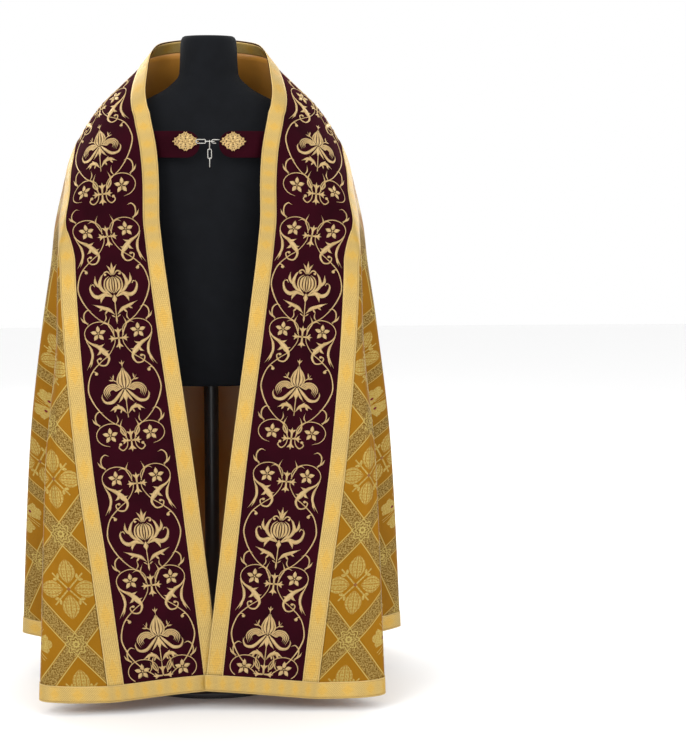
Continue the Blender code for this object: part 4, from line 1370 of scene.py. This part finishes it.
def make_straps(velvet):
    half = (STRAP_HIGH - STRAP_LOW) / 2
    for side, hand in SIDES:
        def place(a, b, side=side):
            out = blend(STRAP_END + 0.0002, STRAP_SEWN, a ** 1.4)
            from_centre = np.clip((STRAP_END + half - out) / half, 0, 1)
            rise = half * np.sqrt(1 - from_centre ** 2) * (b * 2 - 1)
            puff = 0.0007 * (1 - (b * 2 - 1) ** 6) - 0.0006
            y = strap_depth(out) - puff
            points = np.stack([side * out, y, (STRAP_LOW + STRAP_HIGH) / 2 + rise], axis=-1)
            return points, np.tile((0.0, -1.0, 0.0), (len(out), 1))

        piece = sheet_mesh("velvet_strap_" + hand, 60, 24, place, lambda a, b: (a * 0.1, b * 2 * half),
                           STRAP, velvet)
        settle(piece, "cope", "velvet", "strap_" + hand)


def clasp_edge(turn, share):
    """A point of the rosette's pointed lozenge, this share of the way out to its scalloped edge."""
    c, s = math.cos(turn), math.sin(turn)
    share *= 0.95 + 0.05 * math.cos(SCALLOPS * turn)
    return CLASP_LENGTH / 2 * c * abs(c) ** 0.6 * share, CLASP_BREADTH / 2 * s * abs(s) ** 0.35 * share


def tag_faces(faces):
    """Marks what is already in its place, so that the next ring can be told apart."""
    for face in faces:
        face.tag = True


def wire_ring(bm, radius, wire, centre, stretch=1.0):
    """A ring of round wire lying in the XZ plane."""
    profile = bmesh.ops.create_circle(bm, segments=8, radius=wire / 2,
                                      matrix=Matrix.Translation((radius, 0, 0)))["verts"]
    edges = edges_round(profile)
    bmesh.ops.spin(bm, geom=profile + edges, cent=(0, 0, 0), axis=(0, 1, 0),
                   angle=2 * math.pi, steps=20, use_merge=True)
    ring = list({v for f in bm.faces for v in f.verts if not f.tag})
    tag_faces(bm.faces)
    for vert in ring:
        vert.co = Vector((vert.co.x * stretch, vert.co.y, vert.co.z)) + Vector(centre)


def bead(bm, radius, centre, flat=1.0, stretch=1.0, turn=0.0):
    """A small dome of metal."""
    made = bmesh.ops.create_uvsphere(bm, u_segments=12, v_segments=8, radius=radius)["verts"]
    spin = Matrix.Rotation(turn, 4, "Y") @ Matrix.Diagonal((stretch, flat, 1, 1))
    bmesh.ops.transform(bm, matrix=Matrix.Translation(centre) @ spin, verts=made)
    tag_faces({f for v in made for f in v.link_faces})


def make_clasp(side, hand, gilt, piercing_shadow):
    """A filigree rosette with piercings: plate, beaded rim, wire loops and a flower in the middle, with
    dark discs of painted shadow in its piercings.
    """
    face_y = float(strap_depth(CLASP_CENTRE)) - 0.0006
    bm = bmesh.new()
    disc = bmesh.ops.create_circle(bm, cap_ends=True, segments=144, radius=1.0)["verts"]
    for vert in disc:
        x, z = clasp_edge(math.atan2(vert.co.y, vert.co.x), 0.95)
        vert.co = Vector((x, 0, z))
    top = bmesh.ops.extrude_face_region(bm, geom=list(bm.faces))["geom"]
    moved = verts_in(top)
    bmesh.ops.translate(bm, verts=moved, vec=(0, -1.0 * MM, 0))
    bmesh.ops.scale(bm, vec=(0.97, 1, 0.97), verts=moved)
    bmesh.ops.recalc_face_normals(bm, faces=bm.faces)
    tag_faces(bm.faces)
    for k in range(2 * SCALLOPS):
        x, z = clasp_edge(math.pi * k / SCALLOPS, 0.92)
        bead(bm, 1.4 * MM, (x, -1.2 * MM, z))
    for k in range(SCALLOPS):
        x, z = clasp_edge(2 * math.pi * k / SCALLOPS, 0.74)
        wire_ring(bm, 2.5 * MM, 0.9 * MM, (x, -1.5 * MM, z), 1.15)
    for k in range(8):
        turn = 2 * math.pi * (k + 0.5) / 8
        place = (9.5 * MM * math.cos(turn) * 1.2, -1.9 * MM, 8.0 * MM * math.sin(turn))
        bead(bm, 2.6 * MM, place, 0.45, 1.9, -turn)
    for k in range(24):
        turn = 2 * math.pi * k / 24
        bead(bm, 0.75 * MM, (15.5 * MM * math.cos(turn), -1.3 * MM, 12.2 * MM * math.sin(turn)))
    wire_ring(bm, 4.3 * MM, 1.0 * MM, (0, -2.0 * MM, 0))
    bead(bm, 3.2 * MM, (0, -1.8 * MM, 0), 0.7)
    bmesh.ops.translate(bm, verts=bm.verts, vec=(side * CLASP_CENTRE, face_y, CLASP_HEIGHT))
    piece = finish(bm, "clasp_rosette_" + hand, gilt)
    piece.data.set_sharp_from_angle(angle=math.radians(40))
    settle(piece, "cope", "clasp", "clasp_" + hand)
    # Flattened near-black discs set in the piercings: painted shadow, not openings cut through the plate.
    hole_shadows = bmesh.new()
    pierced_at = [(-6.6 * MM, 0), (6.6 * MM, 0), (0, 6.2 * MM), (0, -6.2 * MM)]
    pierced_at += [clasp_edge(2 * math.pi * (k + offset) / SCALLOPS, share)
                   for offset, share in ((0, 0.74), (0.5, 0.56)) for k in range(SCALLOPS)]
    for x, z in pierced_at:
        spot = Matrix.Translation((side * CLASP_CENTRE + x, face_y - 1.2 * MM, CLASP_HEIGHT + z))
        bmesh.ops.create_uvsphere(hole_shadows, u_segments=12, v_segments=6, radius=1.3 * MM,
                                  matrix=spot @ Matrix.Diagonal((1, 0.25, 1, 1)))
    settle(finish(hole_shadows, "clasp_piercing_shadows_" + hand, piercing_shadow), "cope", "clasp")


def oval_link(name, centre, turn, silver, body, node):
    """One oval link of round wire, its long way on Z before it is turned."""
    radius = (LINK_WIDTH - WIRE) / 2
    straight = (LINK_LENGTH - WIRE) / 2 - radius
    bm = bmesh.new()
    start = Matrix.Translation((radius, 0, -straight))
    profile = bmesh.ops.create_circle(bm, segments=12, radius=WIRE / 2, matrix=start)["verts"]
    edges = edges_round(profile)
    for way in (1, -1):
        run = bmesh.ops.extrude_edge_only(bm, edges=edges)["geom"]
        verts = verts_in(run)
        bmesh.ops.translate(bm, verts=verts, vec=(0, 0, way * 2 * straight))
        edges = [e for e in edges_in(run) if all(v in verts for v in e.verts)]
        bend = bmesh.ops.spin(bm, geom=verts + edges, cent=(0, 0, way * straight), axis=(0, -1, 0),
                              angle=math.pi, steps=10)["geom_last"]
        edges = edges_in(bend)
    bmesh.ops.remove_doubles(bm, verts=bm.verts, dist=0.00002)
    bmesh.ops.recalc_face_normals(bm, faces=bm.faces)
    bmesh.ops.transform(bm, matrix=Matrix.Translation(centre) @ turn, verts=bm.verts)
    settle(finish(bm, name, silver), body, "chain", node)


def make_chain(silver):
    depth = float(strap_depth(STRAP_END)) - 4.5 * MM
    edge_on = Matrix.Rotation(math.radians(90), 4, "Z")
    facing = Matrix.Identity(4)
    lying = Matrix.Rotation(math.radians(90), 4, "Y")
    lying_flat = Matrix.Rotation(math.radians(90), 4, "X") @ lying
    first_x = -17.5 * MM
    oval_link("chain_link_1", (first_x, depth, CLASP_HEIGHT), lying, silver, "cope", "link_1")
    oval_link("chain_link_2", (first_x + LINK_PITCH, depth, CLASP_HEIGHT), lying_flat, silver,
              "cope", "link_2")
    bar_y = depth - (LINK_WIDTH - WIRE) / 2
    top_z = CLASP_HEIGHT + WIRE + 0.3 * MM - (LINK_LENGTH - WIRE) / 2
    for k, turn in enumerate((edge_on, facing, edge_on)):
        oval_link("chain_link_%d" % (k + 3), (0.5 * MM, bar_y, top_z - k * LINK_PITCH), turn, silver,
                  "chain_tail", "link_%d" % (k + 3))
    make_hook(depth, silver)


def make_hook(depth, silver):
    """The wire hook of the +X clasp, bent round through the second link."""
    centre = Vector((HOOK_MIDDLE, depth, CLASP_HEIGHT))
    bm = bmesh.new()
    start = Matrix.Translation(centre + Vector((HOOK_TIP, 0, -HOOK_BEND)))
    profile = bmesh.ops.create_circle(bm, cap_ends=True, segments=12, radius=WIRE / 2,
                                      matrix=start @ Matrix.Rotation(math.radians(90), 4, "Y"))["verts"]
    edges = edges_round(profile)
    run = bmesh.ops.extrude_edge_only(bm, edges=edges)["geom"]
    verts = verts_in(run)
    bmesh.ops.translate(bm, verts=verts, vec=(-HOOK_TIP, 0, 0))
    edges = [e for e in edges_in(run) if all(v in verts for v in e.verts)]
    bend_end = bmesh.ops.spin(bm, geom=verts + edges, cent=centre, axis=(0, 1, 0), angle=math.pi,
                              steps=12)["geom_last"]
    run = bmesh.ops.extrude_edge_only(bm, edges=edges_in(bend_end))["geom"]
    bmesh.ops.translate(bm, verts=verts_in(run), vec=(HOOK_SHANK, 0, 0))
    bmesh.ops.holes_fill(bm, edges=[e for e in bm.edges if e.is_boundary], sides=0)
    bmesh.ops.recalc_face_normals(bm, faces=bm.faces)
    settle(finish(bm, "clasp_hook", silver), "cope", "chain", "hook")


# --- the dress form and its stand -----------------------------------------------------------------
FormRow = namedtuple("FormRow", "height half_width front back squareness")
FORM = [
    FormRow(0.660, 0.172, 0.100, 0.105, 2.2),
    FormRow(0.720, 0.178, 0.104, 0.110, 2.2),
    FormRow(0.820, 0.170, 0.102, 0.105, 2.2),
    FormRow(0.920, 0.158, 0.100, 0.088, 2.2),
    FormRow(1.000, 0.170, 0.108, 0.092, 2.2),
    FormRow(1.080, 0.200, 0.112, 0.100, 2.3),
    FormRow(1.150, 0.226, 0.104, 0.100, 2.3),
    FormRow(1.195, 0.230, 0.090, 0.092, 2.2),
    FormRow(1.225, 0.218, 0.078, 0.082, 2.1),
    FormRow(1.250, 0.186, 0.070, 0.074, 2.0),
    FormRow(1.275, 0.136, 0.064, 0.068, 2.0),
    FormRow(1.300, 0.090, 0.061, 0.063, 2.0),
    FormRow(1.330, 0.064, 0.060, 0.058, 2.0),
    FormRow(1.400, 0.060, 0.060, 0.056, 2.0),
    FormRow(1.410, 0.055, 0.055, 0.051, 2.0),
]
FORM_FOOT, FORM_CAP = 0.04, 0.06    # shares of its rows that close it below and over the neck
form_width, form_front, form_back, form_square = (
    SmoothLine(column(FORM, 0), column(FORM, k)) for k in range(1, 5))


def make_form(black):
    """The torso: a smooth closed form with a dished top to its neck."""
    low, high = FORM[0].height, FORM[-1].height
    bm = bmesh.new()
    bmesh.ops.create_grid(bm, x_segments=96, y_segments=110, size=0.5)
    flat = np.array([v.co[:2] for v in bm.verts]) + 0.5
    turn, b = flat[:, 0] * 2 * math.pi, flat[:, 1]
    rise, left = (b - FORM_FOOT) / 0.90, np.clip((1 - b) / FORM_CAP, 0, 1)
    in_cap = b > 1 - FORM_CAP
    z = blend(low, high, ease(rise) * 0.35 + 0.65 * np.clip(rise, 0, 1))
    z = np.where(in_cap, high - 0.012 * ease((b - 0.95) / 0.05), z)
    shrink = np.where(in_cap, np.sqrt(left), np.clip(b / FORM_FOOT, 0, 1) * left)
    c, s = np.cos(turn), np.sin(turn)
    power = 2 / form_square(z)
    x = form_width(z) * np.sign(c) * np.abs(c) ** power * shrink
    y = np.where(s > 0, form_back(z), form_front(z)) * np.sign(s) * np.abs(s) ** power * shrink
    move_to(bm, np.stack([x, y, z], axis=-1))
    bmesh.ops.remove_doubles(bm, verts=bm.verts, dist=0.00005)
    bmesh.ops.recalc_face_normals(bm, faces=bm.faces)
    settle(finish(bm, "dress_form", black), "cope", "form", "form_torso")


def turned(name, profile, paint, node):
    """A turned piece: its profile of (radius, height) spun about the Z axis."""
    bm = bmesh.new()
    verts = [bm.verts.new((r, 0, z)) for r, z in profile]
    edges = [bm.edges.new(pair) for pair in zip(verts, verts[1:])]
    bmesh.ops.spin(bm, geom=verts + edges, cent=(0, 0, 0), axis=(0, 0, 1), angle=2 * math.pi, steps=72,
                   use_merge=True)
    bmesh.ops.remove_doubles(bm, verts=bm.verts, dist=0.00002)
    bmesh.ops.recalc_face_normals(bm, faces=bm.faces)
    piece = finish(bm, name, paint)
    piece.data.set_sharp_from_angle(angle=math.radians(50))
    settle(piece, "cope", "stand", node)


SOCKET = 24 * MM                # radius of the collar where the pole meets its base


def make_stand(paint):
    base_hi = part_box("stand_base")[1]
    pole_lo, pole_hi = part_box("stand_pole")
    edge = 3 * MM
    rim = [(base_hi[0] - edge + edge * math.sin(a), base_hi[2] - edge + edge * math.cos(a))
           for a in np.radians(range(0, 91, 15))]
    top = [(0, base_hi[2]), (SOCKET, base_hi[2])]
    turned("stand_plate", top + rim + [(base_hi[0], 0.001), (base_hi[0] - 0.001, 0), (0, 0)], paint,
           "stand_base")
    collar = SOCKET - 2 * MM
    turned("stand_post", [(0, pole_hi[2]), (pole_hi[0], pole_hi[2]), (pole_hi[0], 0.052), (collar, 0.048),
                          (collar, 0.020), (SOCKET, pole_lo[2]), (0, pole_lo[2])], paint, "stand_pole")


# --- floor, light and camera ----------------------------------------------------------------------
CAMERA_PLACE = Vector((0, -4.25, 1.15))
CAMERA_YAW, CAMERA_PITCH = -3.92, -6.40     # degrees left of +Y and above the level
CAMERA_LENS = 93.0


def make_studio():
    bm = bmesh.new()
    bmesh.ops.create_grid(bm, x_segments=2, y_segments=2, size=9.0)
    floor_look = Finish("pale floor", (0.93, 0.93, 0.93), 0.6)
    floor_look.vary("Roughness", floor_look.noise(floor_look.spot(), 3, 2.0) * 0.1 + 0.55)
    floor = finish(bm, "floor", floor_look.material, smooth=False)
    floor.location.z = cad_box[0][2] - 0.0005
    for name, place, size, power in (
            ("key", (-2.4, -3.6, 3.1), 2.0, 72), ("fill", (2.9, -3.0, 2.2), 2.4, 34),
            ("rim", (-2.2, 3.0, 2.8), 2.0, 60), ("back_fill", (2.4, 3.0, 2.2), 2.0, 34),
            ("top", (0, -0.2, 4.2), 2.4, 26)):
        light = bpy.data.lights.new(name, "AREA")
        light.size = size
        light.energy = power
        lamp = bpy.data.objects.new(name, light)
        lamp.location = place
        lamp.rotation_euler = (Vector((0, 0, 0.75)) - Vector(place)).to_track_quat("-Z", "Y").to_euler()
        bpy.context.scene.collection.objects.link(lamp)
    world = bpy.data.worlds.new("studio")
    world.use_nodes = True
    world.node_tree.nodes["Background"].inputs["Color"].default_value = (1.0, 1.0, 1.0, 1)
    world.node_tree.nodes["Background"].inputs["Strength"].default_value = 1.0
    bpy.context.scene.world = world
    bpy.context.scene.view_settings.view_transform = "Standard"


def make_camera():
    camera = bpy.data.objects.new("camera", bpy.data.cameras.new("camera"))
    camera.data.lens = CAMERA_LENS
    camera.data.sensor_width = 36
    camera.location = CAMERA_PLACE
    camera.rotation_euler = (math.radians(90 + CAMERA_PITCH), 0, math.radians(CAMERA_YAW))
    bpy.context.scene.collection.objects.link(camera)
    bpy.context.scene.camera = camera


def make_cope():
    velvet, gold, thread, satin = velvet_finish(), galloon_finish(), thread_finish(), satin_finish()
    front_brocade = brocade_finish("front brocade", (0.30, 0.128, 0.0015), 0.20, 0.225, 0.052, 0.033)
    back_brocade = brocade_finish("back brocade", (0.29, 0.145, 0.0025), 0.19, 0.175, 0.095, 0.0)
    make_body(front_brocade, back_brocade)
    make_orphreys(velvet)
    make_lining(satin, gold)
    make_band_galloons(gold)
    make_centre_galloon(gold)
    make_hem_galloon(gold)
    make_band_embroidery(thread)
    make_hood(velvet, gold, thread)
    make_fringe(fringe_finish())
    make_fringe_heading(gold)
    make_straps(velvet)
    gilt = metal_finish("pale gilt", (0.66, 0.46, 0.20), 0.34)
    # A near-black material for the discs in the clasp's piercings: painted shadow.
    piercing_shadow = Finish("shadow in the piercings", (0.03, 0.008, 0.010), 0.9).material
    for side, hand in SIDES:
        make_clasp(side, hand, gilt, piercing_shadow)
    make_chain(metal_finish("silver wire", (0.62, 0.60, 0.55), 0.24))
    make_form(jersey_finish())
    make_stand(paint_finish())


make_camera()
make_studio()
make_cope()
